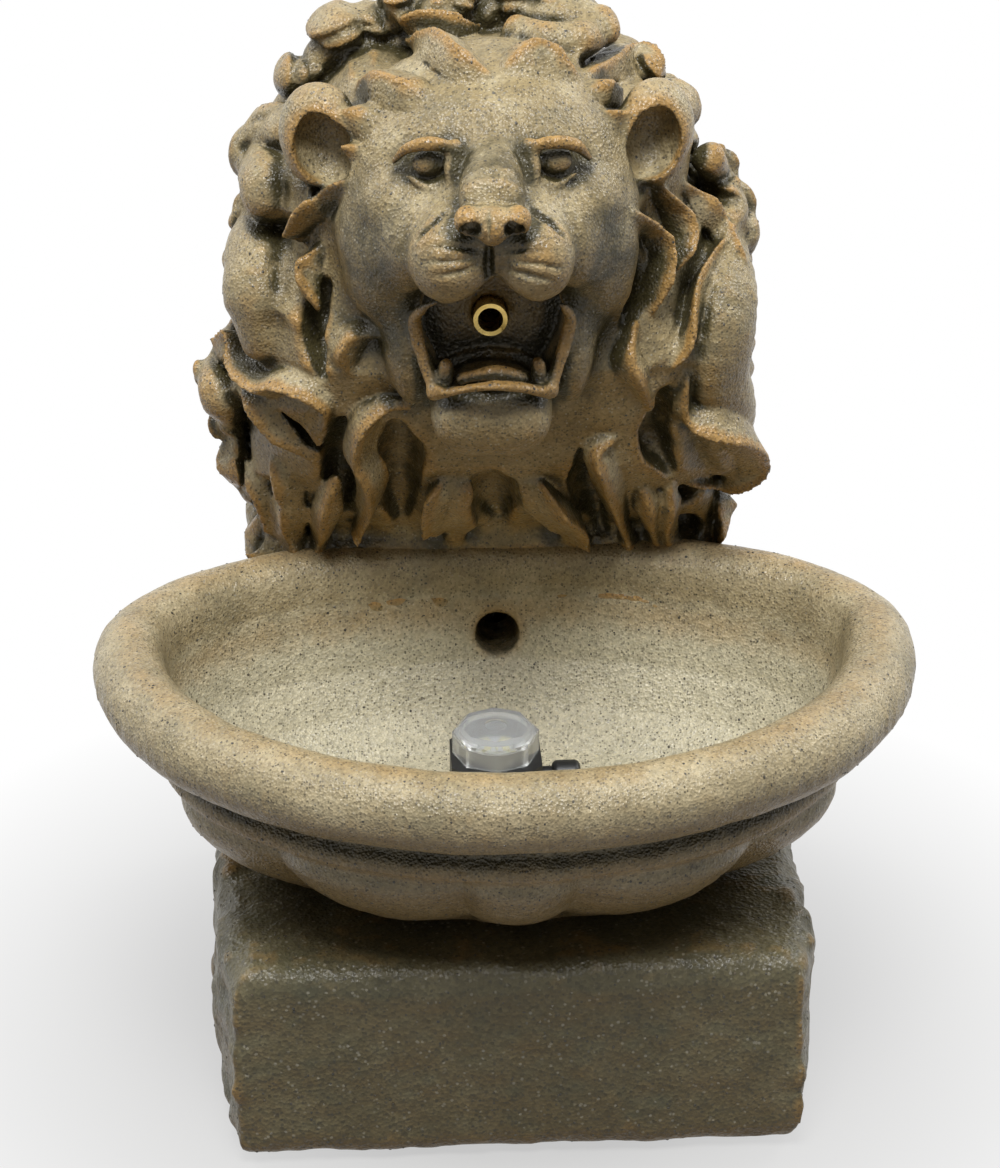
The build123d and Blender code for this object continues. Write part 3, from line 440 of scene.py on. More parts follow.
# Masses of the face: how far each lies to the side, its depth, height, radii and softness
UPPER_FACE = {
    "skull": (0, 34, 268, (46, 40, 42), 4),
    "forehead": (0, 22, 280, (38, 29, 25), 6),
    "cheek": (29, 13, 257, (14, 17, 24), 9),
    "cheekbone": (25, 2, 273, (10, 8.4, 7), 7),
    "upper_jaw": (0, -8, 268, (22, 20, 15), 8),
    "muzzle_root": (22, -3, 262, (9, 12, 13), 8),
}
LOWER_FACE = {
    "muzzle_pad": (11.6, -17.5, 263.5, (11.9, 13.5, 13), 2),
    "nose": (0, -31, 278, (8.4, 4.6, 4.6), 2),
    "nostril_wing": (6.6, -31.5, 278.6, (3.6, 4.2, 4), 1.2),
    "nose_tip": (0, -32.5, 275.8, (3.6, 3.4, 4), 1.5),
    "lower_jaw": (0, 5, 209, (17, 15, 13.5), 5),
    "chin": (6.5, -2.2, 208.5, (11, 9.6, 11.5), 4),
    "jaw_side": (23, 11, 230, (8.4, 12.5, 22), 6),
}
BRIDGE = [(0, 12, 288), (0, -2, 286), (0, -13, 283.8), (0, -24, 281.4)]
BROW = [(9, -5.5, 289), (12, -7.2, 291.6), (17.6, -7.6, 292.8), (23.5, -5.2, 291), (27.5, -1, 286)]
INNER_FOLD = [(10, -5.5, 291.5), (11.2, -8, 286), (10.4, -9.5, 279.5)]
LOWER_LID = [(11.8, -6.5, 283), (17.6, -7.2, 280.4), (23.5, -4.4, 282.6)]
MOUTH_SIDE = [
    (15, -13, 248), (19.5, -8, 244), (22, -4, 239), (20.5, -3, 230), (17.5, -6, 222), (16.5, -8, 218.5),
]
LOWER_LIP = [(-16.5, -8, 218.5), (-9, -14, 223), (0, -16, 225), (9, -14, 223), (16.5, -8, 218.5)]
GUM = [(-9, -8, 222.5), (0, -10, 225), (9, -8, 222.5)]


def masses(table):
    """The rounded masses of a table, those to the side in pairs, with how softly each is blended in."""
    forms = []
    for across, depth, height, radii, blend in table.values():
        balls = sided(across, depth, height, radii) if across else [middle(depth, height, radii)]
        forms += [(ball, blend) for ball in balls]
    return forms


def face_forms():
    bridge = face_lock(BRIDGE, [7.5, 8.2, 8.6, 9], [5, 5.2, 5.2, 4.6], crest=3.2)
    return masses(UPPER_FACE) + [(bridge, 2.5)] + masses(LOWER_FACE)


def face_ridges():
    """Brows, lids and lips, with how softly each is blended in."""
    fold, lid, corner = [1.8, 2.5, 1.4], [0.6, 0.9, 0.6], [1, 1.6, 2, 2, 2, 1.6]
    forms = []
    for flip in (False, True):
        forms.append((face_lock(BROW, [1, 1.5, 1.7, 1.5, 0.8], [1, 1.5, 1.8, 1.5, 0.8], flip), 2.5))
        forms.append((face_lock(INNER_FOLD, fold, fold, flip), 2.5))
        forms.append((face_lock(LOWER_LID, lid, lid, flip), 2))
        forms.append((face_lock(MOUTH_SIDE, corner, corner, flip), 1.8))
    forms.append((face_lock(LOWER_LIP, [2.2] * 5, [2.2] * 5), 1.2))
    return forms


# One half of the open mouth, from the middle of the upper lip down to the middle of the lower
MOUTH_HALF = [
    (0, 259), (4, 256), (9, 252.5), (14, 249.5), (19, 245.5), (21, 240), (19.5, 231), (16, 223),
    (14.5, 220.5), (7, 223.5), (0, 224.5),
]
MOUTH_FRONT_Y = -60
MOUTH_BACK_Y = 14


def mouth_form():
    other = [(-x, z) for x, z in MOUTH_HALF[-2:0:-1]]
    return Prism([(HEAD_X + x, z) for x, z in MOUTH_HALF + other], MOUTH_FRONT_Y, MOUTH_BACK_Y)


def tooth_forms():
    return sided(13.4, -6.5, 223.5, (2.2, 2.2, 4.4)) + [face_lock(GUM, [1.6] * 3, [1.8] * 3)]


def eye_forms():
    sockets = sided(EYE_X, -7.5, EYE_Z + 0.4, (5.6, 5.2, 4.2), (0, 6, 0))
    eyes = sided(EYE_X, -3.8, EYE_Z + 0.6, (4.9, 3.1, 3.9))
    return sockets, eyes


# Fine cuts of the face, by pixels along each
FACE_CUTS = {
    "philtrum": ([(489, 243), (489, 260), (490, 278)], 1.2, 2.6),
    "nose_groove": ([(490, 207), (489, 225), (489, 241)], 0.8, 1.2),
    "whiskers_left_1": ([(418, 248), (450, 246), (482, 251)], 0.6, 0.8),
    "whiskers_left_2": ([(422, 262), (452, 261), (482, 258)], 0.6, 0.8),
    "whiskers_left_3": ([(432, 276), (456, 273), (482, 264)], 0.6, 0.8),
    "whiskers_right_1": ([(498, 252), (533, 249), (564, 254)], 0.6, 0.8),
    "whiskers_right_2": ([(498, 260), (533, 263), (564, 268)], 0.6, 0.8),
    "whiskers_right_3": ([(500, 267), (533, 276), (552, 281)], 0.6, 0.8),
    "left_pad_crease": ([(447, 212), (432, 226), (418, 240)], 1.2, 1.6),
    "right_pad_crease": ([(533, 210), (550, 222), (563, 236)], 1.2, 1.6),
}


def ear_forms():
    turn = (-8, 14, 24)
    cups = sided(EAR_X, 26, EAR_Z, (12.6, 8.5, 15.2), turn)
    hollows = sided(EAR_X - 0.5, 20, EAR_Z - 1.5, (8.9, 10, 11.4), turn)
    return cups, hollows


# The mane as the photograph shows it: each lock by pixels along it, its half-width and its height
MASSES = {
    "left_big_lock": ([(275, 195), (262, 240), (257, 290), (262, 338)], 11, 9),
    "right_big_lock": ([(716, 225), (722, 298), (716, 373), (724, 429), (738, 462)], 12, 9),
    "crest_right": ([(497, 12), (528, 18), (560, 26), (596, 24)], 8, 8),
    "crest_right_low": ([(520, 34), (548, 44), (580, 42), (603, 34)], 6, 6),
    "crest_left": ([(400, 8), (420, 18), (450, 20), (484, 16)], 6, 6),
    "upper_left": ([(312, 78), (327, 55), (349, 42), (380, 38), (404, 42)], 8, 7),
    "behind_left_ear": ([(298, 122), (276, 136), (264, 160), (262, 190)], 9, 6),
    "behind_right_ear": ([(706, 160), (718, 186), (727, 209), (724, 226)], 6, 6),
    "left_tail": ([(240, 350), (222, 372), (224, 396), (236, 418)], 6, 6),
    "beard_left": ([(452, 484), (444, 502), (434, 524)], 6, 5),
    "beard_middle": ([(470, 490), (466, 510), (456, 530)], 5, 4),
    "beard_right": ([(532, 484), (550, 506), (572, 528)], 6, 5),
}
RIDGES = {
    "crest_left_edge": ([(396, 6), (409, 20), (431, 27), (461, 31), (487, 26)], 2.6, 5),
    "forelock_left": ([(409, 41), (442, 52), (461, 67), (489, 77)], 4.5, 6),
    "forelock_right": ([(507, 70), (528, 62), (550, 68), (576, 79)], 4.5, 6),
    "over_right_ear": ([(585, 78), (610, 67), (640, 63), (662, 75)], 4.5, 6),
    "right_ear_front": ([(588, 92), (606, 95), (622, 105)], 3, 4),
    "left_ear_front": ([(364, 86), (386, 88), (409, 93), (425, 100)], 4.5, 5),
    "left_temple": ([(373, 118), (360, 123), (346, 134)], 3.6, 5),
    "left_fringe_1": ([(362, 150), (342, 156), (322, 171), (309, 199)], 2.8, 6),
    "left_fringe_2": ([(350, 182), (330, 199), (311, 213), (303, 228), (308, 244)], 2.6, 6),
    "left_fringe_3": ([(322, 246), (314, 262), (311, 283), (319, 308)], 2.6, 5),
    "left_frill": ([
        (221, 346), (237, 339), (248, 364), (267, 383), (286, 379), (312, 388), (328, 406), (325, 426),
    ], 3, 6),
    "left_flow": ([(241, 373), (262, 402), (285, 430), (310, 456)], 3.5, 5),
    "left_low_1": ([(240, 425), (236, 455), (238, 483)], 4, 5),
    "left_low_2": ([(248, 462), (268, 490), (272, 526)], 3.5, 5),
    "left_low_3": ([(275, 462), (290, 492), (288, 524)], 3.5, 5),
    "left_low_4": ([(300, 485), (290, 516), (297, 548)], 4.5, 5),
    "left_low_5": ([(335, 480), (325, 515), (316, 546)], 3.5, 5),
    "left_arch": ([(380, 332), (358, 334), (346, 352), (350, 371)], 3, 5),
    "left_chin_lock": ([
        (410, 402), (384, 402), (365, 417), (360, 447), (371, 473), (368, 498), (357, 526),
    ], 3, 7),
    "beard_left_edge": ([(442, 480), (438, 494), (434, 510), (430, 526)], 2.4, 5),
    "beard_right_edge": ([(540, 482), (552, 504), (568, 518), (582, 538)], 2.6, 6),
    "right_chin_lock": ([(611, 438), (596, 447), (606, 473), (616, 498), (628, 534)], 3, 6),
    "right_arch": ([(632, 326), (626, 356), (636, 375), (648, 405)], 3, 5),
    "right_temple": ([(603, 115), (629, 127), (647, 145), (658, 165)], 3.2, 6),
    "right_fringe_1": ([(646, 176), (666, 207), (678, 239), (671, 261), (666, 278)], 2.8, 6),
    "right_fringe_2": ([(629, 212), (647, 231), (659, 253), (656, 283), (650, 311)], 2.6, 6),
    "right_shoulder": ([(681, 184), (699, 209), (722, 238), (742, 262)], 3.5, 5),
    "right_big_crease": ([(730, 232), (700, 283), (688, 335), (670, 366)], 2.2, 5),
    "right_curl": ([
        (686, 375), (684, 408), (712, 421), (740, 437), (748, 463), (724, 480), (686, 481),
    ], 3.2, 6),
    "right_low_1": ([(716, 492), (722, 516), (726, 546)], 4.5, 5),
    "right_low_2": ([(640, 484), (650, 510), (658, 538)], 3.5, 5),
    "right_low_3": ([(668, 482), (664, 510), (668, 538)], 3, 5),
}
GROOVES = {
    "left_valley": ([(322, 288), (312, 330), (322, 374)], 4, 8),
    "left_hollow": ([(396, 428), (400, 455), (398, 490), (402, 530)], 8, 11),
    "under_frill": ([(258, 404), (285, 422), (316, 446)], 4, 8),
    "left_low_groove": ([(345, 425), (338, 465), (342, 515)], 6, 10),
    "right_valley": ([(638, 255), (638, 290), (628, 322)], 3.5, 7),
    "right_hollow": ([(664, 395), (656, 440), (672, 474)], 6, 9),
    "right_hole_1": ([(684, 490), (694, 496)], 5, 9),
    "right_hole_2": ([(678, 522), (692, 534)], 5, 8),
    "beard_groove_right": ([(590, 455), (590, 492), (602, 532)], 7, 11),
    "beard_groove_middle": ([(490, 474), (492, 498), (500, 528)], 8, 10),
}


RIDGE_SPREAD = 1.6
RIDGE_CREST = 1.15
LOCK_SWELL = (0.3, 1.0, 0.9, 0.15)
FOOT_SWELL = (0.3, 1.0, 0.9, 0.5)
MASS_SWELL = (0.8, 1, 1, 0.6)
CUT_SWELL = (0.5, 1, 1, 0.7)
FOOT_PIXEL = 520
DEPTH_PASSES = 4
DEPTH_WEIGHTS = (0.25, 0.5, 0.25)


def on_form(clay, pixels):
    """Where the sight lines of pixels meet the form, or pass nearest to it, and which way it faces."""
    place = camera_place()
    lines = np.array([sight_line(*p) for p in pixels])
    depths = np.arange(SIGHT_START_Y, MANE_DEEPEST_Y + 12, clay.step)
    walks = place + lines[:, None, :] * ((depths - place[1])[None, :] / lines[:, 1:2])[:, :, None]
    values = sampled(clay, clay.field, walks.reshape(-1, 3)).reshape(len(lines), -1)
    met = values < 0
    stop = np.where(met.any(axis=1), met.argmax(axis=1), values.argmin(axis=1))
    points = walks[np.arange(len(lines)), stop]
    normals = facing(clay, clay.field, points, 2 * clay.step)
    return points - normals * sampled(clay, clay.field, points)[:, None], normals


def evened(values):
    return np.convolve(np.pad(values, 1, mode="edge"), DEPTH_WEIGHTS, "valid")


def smooth_depth(path, points, normals):
    """Evens out a lock's depth and facing along it, so that it runs on where the form falls away."""
    place = camera_place()
    depths = points[:, 1]
    for _ in range(DEPTH_PASSES):
        depths = evened(depths)
        normals = np.array([evened(n) for n in normals.T]).T
    lines = np.array([sight_line(*p) for p in path])
    return place + lines * ((depths - place[1]) / lines[:, 1])[:, None], normals


def photo_lock(clay, pixels, width, height, swell=LOCK_SWELL, crest=2.0):
    """A lock laid on the form along pixels of the photograph."""
    count = 5 * len(pixels)
    path = smooth_curve([(x, y, 0) for x, y in pixels], count)[:, :2]
    points, normals = smooth_depth(path, *on_form(clay, path))
    taper = np.interp(np.linspace(0, 1, count), np.linspace(0, 1, len(swell)), swell)
    return Lock(points, normals, width * taper, height * taper, crest)


# Locks round the sides and the crown, behind what the photograph shows: each row's depths, width, height
SIDE_LOCK_COUNT = 46
SIDE_LOCK_ROWS = ((63, 88, 7.5, 5.0), (82, 105, 8.0, 4.6))
SIDE_LOCK_SHARES = np.linspace(0, 1, 9)
SIDE_LOCK_SWELL = np.interp(SIDE_LOCK_SHARES, (0, 0.35, 0.8, 1), (0.25, 1, 0.8, 0.2))
SIDE_LOCK_CREST = 1.5
SIDE_LOCK_FALL = 17
SIDE_LOCK_CURL = 5
SIDE_LOCK_SEED = 11
SETTLE_PASSES = 4
CROWN_HALF_LENGTH = 60


def settled(clay, points):
    """Points moved onto the form, and which way it faces there."""
    for _ in range(SETTLE_PASSES):
        normals = facing(clay, clay.field, points, 2 * clay.step)
        points = points - normals * sampled(clay, clay.field, points)[:, None]
    return points, normals


def edge_walk():
    """The mane's outline as a way of going along it by distance, and its whole length."""
    edge = mane_edge()
    steps = np.linalg.norm(np.diff(edge, axis=0), axis=1)
    reached = np.concatenate([[0], np.cumsum(steps)])

    def along(distance):
        return np.array([np.interp(distance, reached, edge[:, k]) for k in range(2)])

    return along, reached[-1]


def swept_path(rng, k, start_y, end_y, along, length):
    """A lock's way back from the mane's edge, falling to its own side of the crown."""
    place = length * (k + rng.uniform(0.2, 0.8)) / SIDE_LOCK_COUNT
    side = np.clip((place - length / 2) / CROWN_HALF_LENGTH, -1, 1)
    fall = SIDE_LOCK_FALL * rng.uniform(0.4, 1.2) * side
    curl = rng.uniform(-SIDE_LOCK_CURL, SIDE_LOCK_CURL)
    path = []
    for share in SIDE_LOCK_SHARES:
        x, z = along(np.clip(place + fall * share + curl * math.sin(math.pi * share), 0, length))
        path.append((x, start_y + (end_y - start_y) * share, z))
    return np.array(path)


def side_locks(clay):
    """Rows of locks that sweep back and down from the mane's edge."""
    rng = np.random.default_rng(SIDE_LOCK_SEED)
    walk = edge_walk()
    forms = []
    for start_y, end_y, width, height in SIDE_LOCK_ROWS:
        for k in range(SIDE_LOCK_COUNT):
            points, normals = settled(clay, swept_path(rng, k, start_y, end_y, *walk))
            swell = SIDE_LOCK_SWELL * rng.uniform(0.75, 1.15)
            forms.append(Lock(points, normals, width * swell, height * swell, SIDE_LOCK_CREST))
    return forms


# The block of clay for the head, and the sharpening of hair and face: reach and amount
HEAD_HALF_WIDTH = 97
HEAD_FRONT_Y = -46
HAIR_FRONT_Y = 2
HAIR_FADE = 12
HAIR_SHARPEN = (4.5, 0.45)
FINE_SHARPEN = (2.0, 0.8)
FACE_SHARPEN_SHARE = 0.4


def column_forms(foot):
    """The column under the head, and the neck over it, with how softly each is blended in."""
    column = BlockForm((HEAD_X - 75, 44, foot), (HEAD_X + 75, BACK_Y, 124), 7)
    neck = BlockForm((HEAD_X - 73, 61, 110), (HEAD_X + 73, BACK_Y, 190), 10)
    return [(column, 4), (neck, 8)]


def carve_head():
    """The head and its column, still solid."""
    low, high = millimetres("lion_head")
    corner = (HEAD_X - HEAD_HALF_WIDTH, HEAD_FRONT_Y, low[2] - 4)
    clay = Clay(corner, (HEAD_X + HEAD_HALF_WIDTH, BACK_Y + 4, high[2] + 6), HEAD_STEP)
    for form, blend in [(ManeForm(), 2)] + column_forms(low[2]) + face_forms():
        clay.add(blend, form)
    carve_mane(clay)
    hair = np.clip((clay.axes[1] - HAIR_FRONT_Y) / HAIR_FADE, 0, 1)[None, :, None]
    clay.sharpen(*HAIR_SHARPEN, hair)
    carve_face(clay)
    clay.sharpen(*FINE_SHARPEN, np.maximum(hair, FACE_SHARPEN_SHARE))
    clay.roughen(HEAD_LUMPS)
    return clay


def carve_mane(clay):
    """The mane's masses, the locks round its sides, its grooves and its ridges."""
    for row in MASSES.values():
        clay.add(4, photo_lock(clay, *row, MASS_SWELL))
    ridges = []
    for pixels, width, height in RIDGES.values():
        swell = FOOT_SWELL if pixels[-1][1] > FOOT_PIXEL else LOCK_SWELL
        ridges.append(photo_lock(clay, pixels, RIDGE_SPREAD * width, height, swell, RIDGE_CREST))
    grooves = [photo_lock(clay, *row) for row in GROOVES.values()]
    clay.add(2, *side_locks(clay))
    clay.cut(4, *grooves)
    clay.add(1.6, *ridges)


def carve_face(clay):
    """Eyes, brows, ears, fine cuts, and the open mouth with its teeth."""
    sockets, eyes = eye_forms()
    clay.cut(1.5, *sockets)
    clay.add(0.5, *eyes)
    for form, blend in face_ridges():
        clay.add(blend, form)
    cups, hollows = ear_forms()
    clay.add(2.5, *cups)
    clay.cut(1.5, *hollows)
    clay.cut(1, *[photo_lock(clay, *row, CUT_SWELL) for row in FACE_CUTS.values()])
    throat = middle(1, 238, (20, 14, 17))
    clay.cut(2, mouth_form(), throat)
    clay.add(1, *tooth_forms())
    nostrils = sided(6.2, -35, 276.8, (3.5, 5, 3), (0, 20, 0))
    clay.cut(0.8, *nostrils)


# Distances over which the surface is marked, for its colours
RELIEF_REACHES = {"fine_relief": 1.6, "broad_relief": 5.0}
SHELTER_REACHES = (2.5, 5.0, 8.5, 15.0)


def surface(clay, name):
    """The surface of the clay as a new piece, and how many triangles it has."""
    grid = openvdb.FloatGrid(FAR)
    grid.copyFromArray(clay.field)
    points, tris, quads = grid.convertToPolygons(0.0, 0.0)
    points = clay.low + clay.step * np.asarray(points)
    faces = [tuple(face[::-1]) for face in quads.tolist() + tris.tolist()]
    mesh = bpy.data.meshes.new(name)
    mesh.from_pydata((points * MM).tolist(), [], faces)
    return new_piece(name, mesh), 2 * len(quads) + len(tris)


def skin(clay, name):
    """The surface of the clay, thinned, with how raised and how sheltered each point is."""
    piece, count = surface(clay, name)
    thin = piece.modifiers.new("thin", "DECIMATE")
    thin.ratio = min(1.0, CASTING_TRIANGLES / count)
    shown = piece.evaluated_get(bpy.context.evaluated_depsgraph_get())
    mesh = bpy.data.meshes.new_from_object(shown)
    piece.modifiers.clear()
    piece.data = mesh
    mesh.shade_smooth()
    places = mesh_places(piece).T
    near = np.clip(clay.field, -FAR, FAR)
    # broad_relief also places the painted highlight on broad raised forms
    for label, reach in RELIEF_REACHES.items():
        relief = sampled(clay, blurred(near, clay.steps(reach)) - near, places) / reach
        keep_values(mesh, label, relief)
    # shelter drives the painted shade that darkens the hollows
    keep_values(mesh, "shelter", shelter(clay, near, places))
    return piece


def mesh_places(piece):
    """Where a piece's points lie: all X, all Y and all Z."""
    places = np.empty(3 * len(piece.data.vertices), np.float32)
    piece.data.vertices.foreach_get("co", places)
    return places.reshape(-1, 3).T / MM


def keep_values(mesh, label, values):
    mesh.attributes.new(label, "FLOAT", "POINT").data.foreach_set("value", values.astype(np.float32))


def shelter(clay, near, places):
    """How closely the form closes in over each point, from 0 in the open to about 1 in a deep hollow."""
    outward = facing(clay, near, places, clay.step)
    closed = 0
    for reach in SHELTER_REACHES:
        room = sampled(clay, near, places + outward * reach) / min(reach, 0.95 * FAR)
        closed = closed + 1 - np.clip(room, 0, 1)
    return closed / len(SHELTER_REACHES)


# Basin
BASIN_LOW, BASIN_HIGH = millimetres("basin")
BASIN_X = (BASIN_LOW[0] + BASIN_HIGH[0]) / 2
BASIN_HALF_WIDTH = (BASIN_HIGH[0] - BASIN_LOW[0]) / 2
BASIN_FRONT_SHARE = 0.605
BASIN_Y = BASIN_LOW[1] + BASIN_FRONT_SHARE * (BASIN_HIGH[1] - BASIN_LOW[1])
RIM_RADIUS = 11.5
RIM_Z = BASIN_HIGH[2] - RIM_RADIUS
FOOT_Z = BASIN_LOW[2]
BELLY_TOP_Z = 103
LOBES_PER_SIDE = 5
FRONT_LOBE_ANGLE = 20
LOBE_CREASE = 6.6
OVERFLOW_Z = 110
OVERFLOW_RADIUS = 7
OVERFLOW_EDGE = 1.2
BOWL_EDGE = 3
BOWL_CLEAR_Z = 135
PLAN_STEPS = 720

# Half sections of the basin, by the distance in from the outside of its rim and the height
BELLY_SECTION = [
    (21, 130), (20.8, 121), (20.4, 114), (19, 109), (16.6, 106.4), (15.6, 104.4), (16, 102.6),
    (17.8, 101.2), (18.2, 99.6), (17.4, 97.6), (17.8, 94.6), (19.6, 91), (23.4, 86), (29, 80.4),
    (36, 75.2), (44, 71), (52, 69), (54, FOOT_Z), (140, FOOT_Z), (140, 130),
]
BOWL_SECTION = [
    (20.5, 150), (21.6, 134), (22.4, 126), (23.6, 116), (27, 102), (35, 89), (47, 79.6), (58, 76),
    (140, 76), (140, 150),
]


def plan_distance(x, y):
    """How far in from the outside of the rim a point of the plan lies, and its angle from the front."""
    front = BASIN_Y - BASIN_LOW[1]
    back = BASIN_HIGH[1] - BASIN_Y
    angles = np.linspace(-math.pi, math.pi, PLAN_STEPS + 1)[:-1]
    reach = np.where(np.cos(angles) > 0, front, back)
    edge_x = BASIN_X + BASIN_HALF_WIDTH * np.sin(angles)
    edge_y = BASIN_Y - reach * np.cos(angles)
    nearest = np.full(np.broadcast(x, y).shape, 1e9)
    for ex, ey in zip(edge_x, edge_y):
        nearest = np.minimum(nearest, (x - ex) ** 2 + (y - ey) ** 2)
    across = (x - BASIN_X) / BASIN_HALF_WIDTH
    ahead = (BASIN_Y - y) / np.where(y < BASIN_Y, front, back)
    inside = np.hypot(across, ahead) < 1
    return np.where(inside, 1, -1) * np.sqrt(nearest), np.arctan2(across, ahead)


def lobe_crease(turn):
    """How far the belly is drawn in: nothing at a lobe's crown, most in the crease beside it."""
    first = math.radians(FRONT_LOBE_ANGLE) / 2
    step = (math.pi - first) / LOBES_PER_SIDE
    away = np.abs(turn)
    place = np.where(away < first, (away + first) / (2 * first), ((away - first) / step) % 1)
    return LOBE_CREASE * (2 * place - 1) ** 2


def section_distance(section, inset, z):
    inset, z = np.broadcast_arrays(inset, z)
    return outline_distance(np.array(section, float), inset, z).astype(np.float32)


class BasinForm:
    """The basin's outer form, filled in: rolled rim, cove, bead and lobed belly."""
    low = BASIN_LOW
    high = BASIN_HIGH

    def __init__(self, grow=0.0):
        self.grow = grow

    def distance(self, x, y, z):
        inset, turn = plan_distance(x[:, :, 0], y[:, :, 0])
        inset, turn = inset[:, :, None], turn[:, :, None]
        belly_zone = np.clip((BELLY_TOP_Z - z) / 5, 0, 1) * np.clip((z - FOOT_Z - 1) / 6, 0, 1)
        belly = section_distance(BELLY_SECTION, inset - lobe_crease(turn) * belly_zone, z)
        rim = np.hypot(inset - RIM_RADIUS, z - RIM_Z) - RIM_RADIUS
        return (blend_min(belly, rim, 1.5) - self.grow).astype(np.float32)


class BowlForm:
    """The hollow of the bowl."""
    low = BASIN_LOW
    high = BASIN_HIGH + 8

    def distance(self, x, y, z):
        inset, _ = plan_distance(x[:, :, 0], y[:, :, 0])
        return section_distance(BOWL_SECTION, inset[:, :, None], z)


class BowlClear(BowlForm):
    """The part of the bowl's hollow that no hair hangs into."""

    def distance(self, x, y, z):
        return np.maximum(super().distance(x, y, z), z - BOWL_CLEAR_Z).astype(np.float32)


class Bore:
    """A round hole along the depth."""

    def __init__(self, x, z, radius, front, back):
        self.x, self.z, self.radius = x, z, radius
        self.low = np.array([x - radius, front, z - radius])
        self.high = np.array([x + radius, back, z + radius])

    def distance(self, x, y, z):
        round_d = np.hypot(x - self.x, z - self.z) - self.radius
        return np.maximum(round_d, np.maximum(self.low[1] - y, y - self.high[1])).astype(np.float32)


# Marks for colours: the bowl's painted light, and the painted shade on the cheeks by its place, height
# and reaches
BOWL_LIGHT_REACH = 4
BOWL_LIGHT_FADE = 16
# Spots of painted shade on the cheeks and jaws
CHEEK_SHADE_SPOTS = [(36, 258, 11, 18), (29, 232, 10, 16)]
CHEEK_BACK_Y = 34
CHEEK_FADE = 10


def paint_bowl_light(piece):
    """Marks the inside of the bowl, for painted light that makes the stone paler there."""
    x, y, z = mesh_places(piece)
    inset, _ = plan_distance(x, y)
    near = section_distance(BOWL_SECTION, inset, z)
    inside = np.clip((BOWL_LIGHT_REACH - near) / BOWL_LIGHT_REACH, 0, 1)
    keep_values(piece.data, "painted_bowl_light", inside * np.clip((RIM_Z - z) / BOWL_LIGHT_FADE, 0, 1))


def paint_cheek_shade(piece):
    """Marks the cheeks and jaws, for painted shade that darkens them."""
    x, y, z = mesh_places(piece)
    cheek_shade = 0
    for across, height, wide, tall in CHEEK_SHADE_SPOTS:
        away = ((np.abs(x - HEAD_X) - across) / wide) ** 2 + ((z - height) / tall) ** 2
        cheek_shade = np.maximum(cheek_shade, np.exp(-away))
    keep_values(piece.data, "cheek_shade", cheek_shade * np.clip((CHEEK_BACK_Y - y) / CHEEK_FADE, 0, 1))


def carve_basin():
    clay = Clay(BASIN_LOW - 5, BASIN_HIGH + 5, BASIN_STEP)
    clay.add(0.1, BasinForm())
    clay.roughen(BASIN_LUMPS)
    clay.cut(BOWL_EDGE, BowlForm())
    overflow = Bore(BASIN_X, OVERFLOW_Z, OVERFLOW_RADIUS, BASIN_Y + 20, BASIN_HIGH[1] + 5)
    clay.cut(OVERFLOW_EDGE, overflow)
    clay.roughen(BOWL_LUMPS)
    return clay


# Plinth
PLINTH_LOW, PLINTH_HIGH = millimetres("plinth")
PLINTH_FRONT_WIDTH = 168
PLINTH_FLARE = 34
PLINTH_DRAFT = math.tan(math.radians(1.6))
PLINTH_WALL = 7
PLINTH_DECK = 8
TANK_FLOOR_Z = millimetres("suction_cups")[0][2]
PLINTH_EDGE = 4.5
TANK_EDGE = 1.5
HEWN_FROM_X = 78
HEWN_FADE = 8
WELL_FRONT_Y = 66.4
WELL_HALF_WIDTH = 63


def plinth_plan(inset=0.0):
    half = (PLINTH_HIGH[0] - PLINTH_LOW[0]) / 2 - inset
    half_front = PLINTH_FRONT_WIDTH / 2 - inset
    front, back = PLINTH_LOW[1] + inset, PLINTH_HIGH[1] - inset
    flare = PLINTH_LOW[1] + PLINTH_FLARE
    face = [(-half_front, front), (half_front, front)]
    return face + [(half, flare), (half, back), (-half, back), (-half, flare)]


class PlinthForm:
    """The plinth's block, drafted, with softened edges."""
    low = PLINTH_LOW
    high = PLINTH_HIGH

    def distance(self, x, y, z):
        flat = outline_distance(np.array(plinth_plan(), float), x[:, :, 0], y[:, :, 0])
        side = flat[:, :, None] + (z - PLINTH_LOW[2]) * PLINTH_DRAFT
        ends = np.maximum(z - PLINTH_HIGH[2], PLINTH_LOW[2] - z)
        return blend_max(side, ends, PLINTH_EDGE * 2).astype(np.float32)


class TankForm:
    """The tank inside the plinth, and the well over it."""
    low = PLINTH_LOW
    high = PLINTH_HIGH + 8

    def distance(self, x, y, z):
        plan = np.array(plinth_plan(PLINTH_WALL), float)
        flat = outline_distance(plan, x[:, :, 0], y[:, :, 0])[:, :, None]
        tank = np.maximum(flat, np.maximum(z - PLINTH_HIGH[2] + PLINTH_DECK, TANK_FLOOR_Z - z))
        across = np.abs(x - HEAD_X) - WELL_HALF_WIDTH
        along = np.maximum(WELL_FRONT_Y - y, y - PLINTH_HIGH[1] + PLINTH_WALL)
        well = np.maximum(np.maximum(across, along), TANK_FLOOR_Z - z)
        return np.minimum(tank, well).astype(np.float32)


def carve_plinth():
    clay = Clay(PLINTH_LOW - 5, PLINTH_HIGH + 5, PLINTH_STEP)
    clay.add(0.1, PlinthForm())
    beside = np.clip((np.abs(clay.axes[0]) - HEWN_FROM_X) / HEWN_FADE, 0, 1)[:, None, None]
    clay.roughen(HEWN_LUMPS, beside)
    clay.roughen(PLINTH_LUMPS)
    clay.cut(TANK_EDGE, TankForm())
    clay.field[:] = np.maximum(clay.field, PLINTH_LOW[2] - clay.axes[2][None, None, :])
    return clay


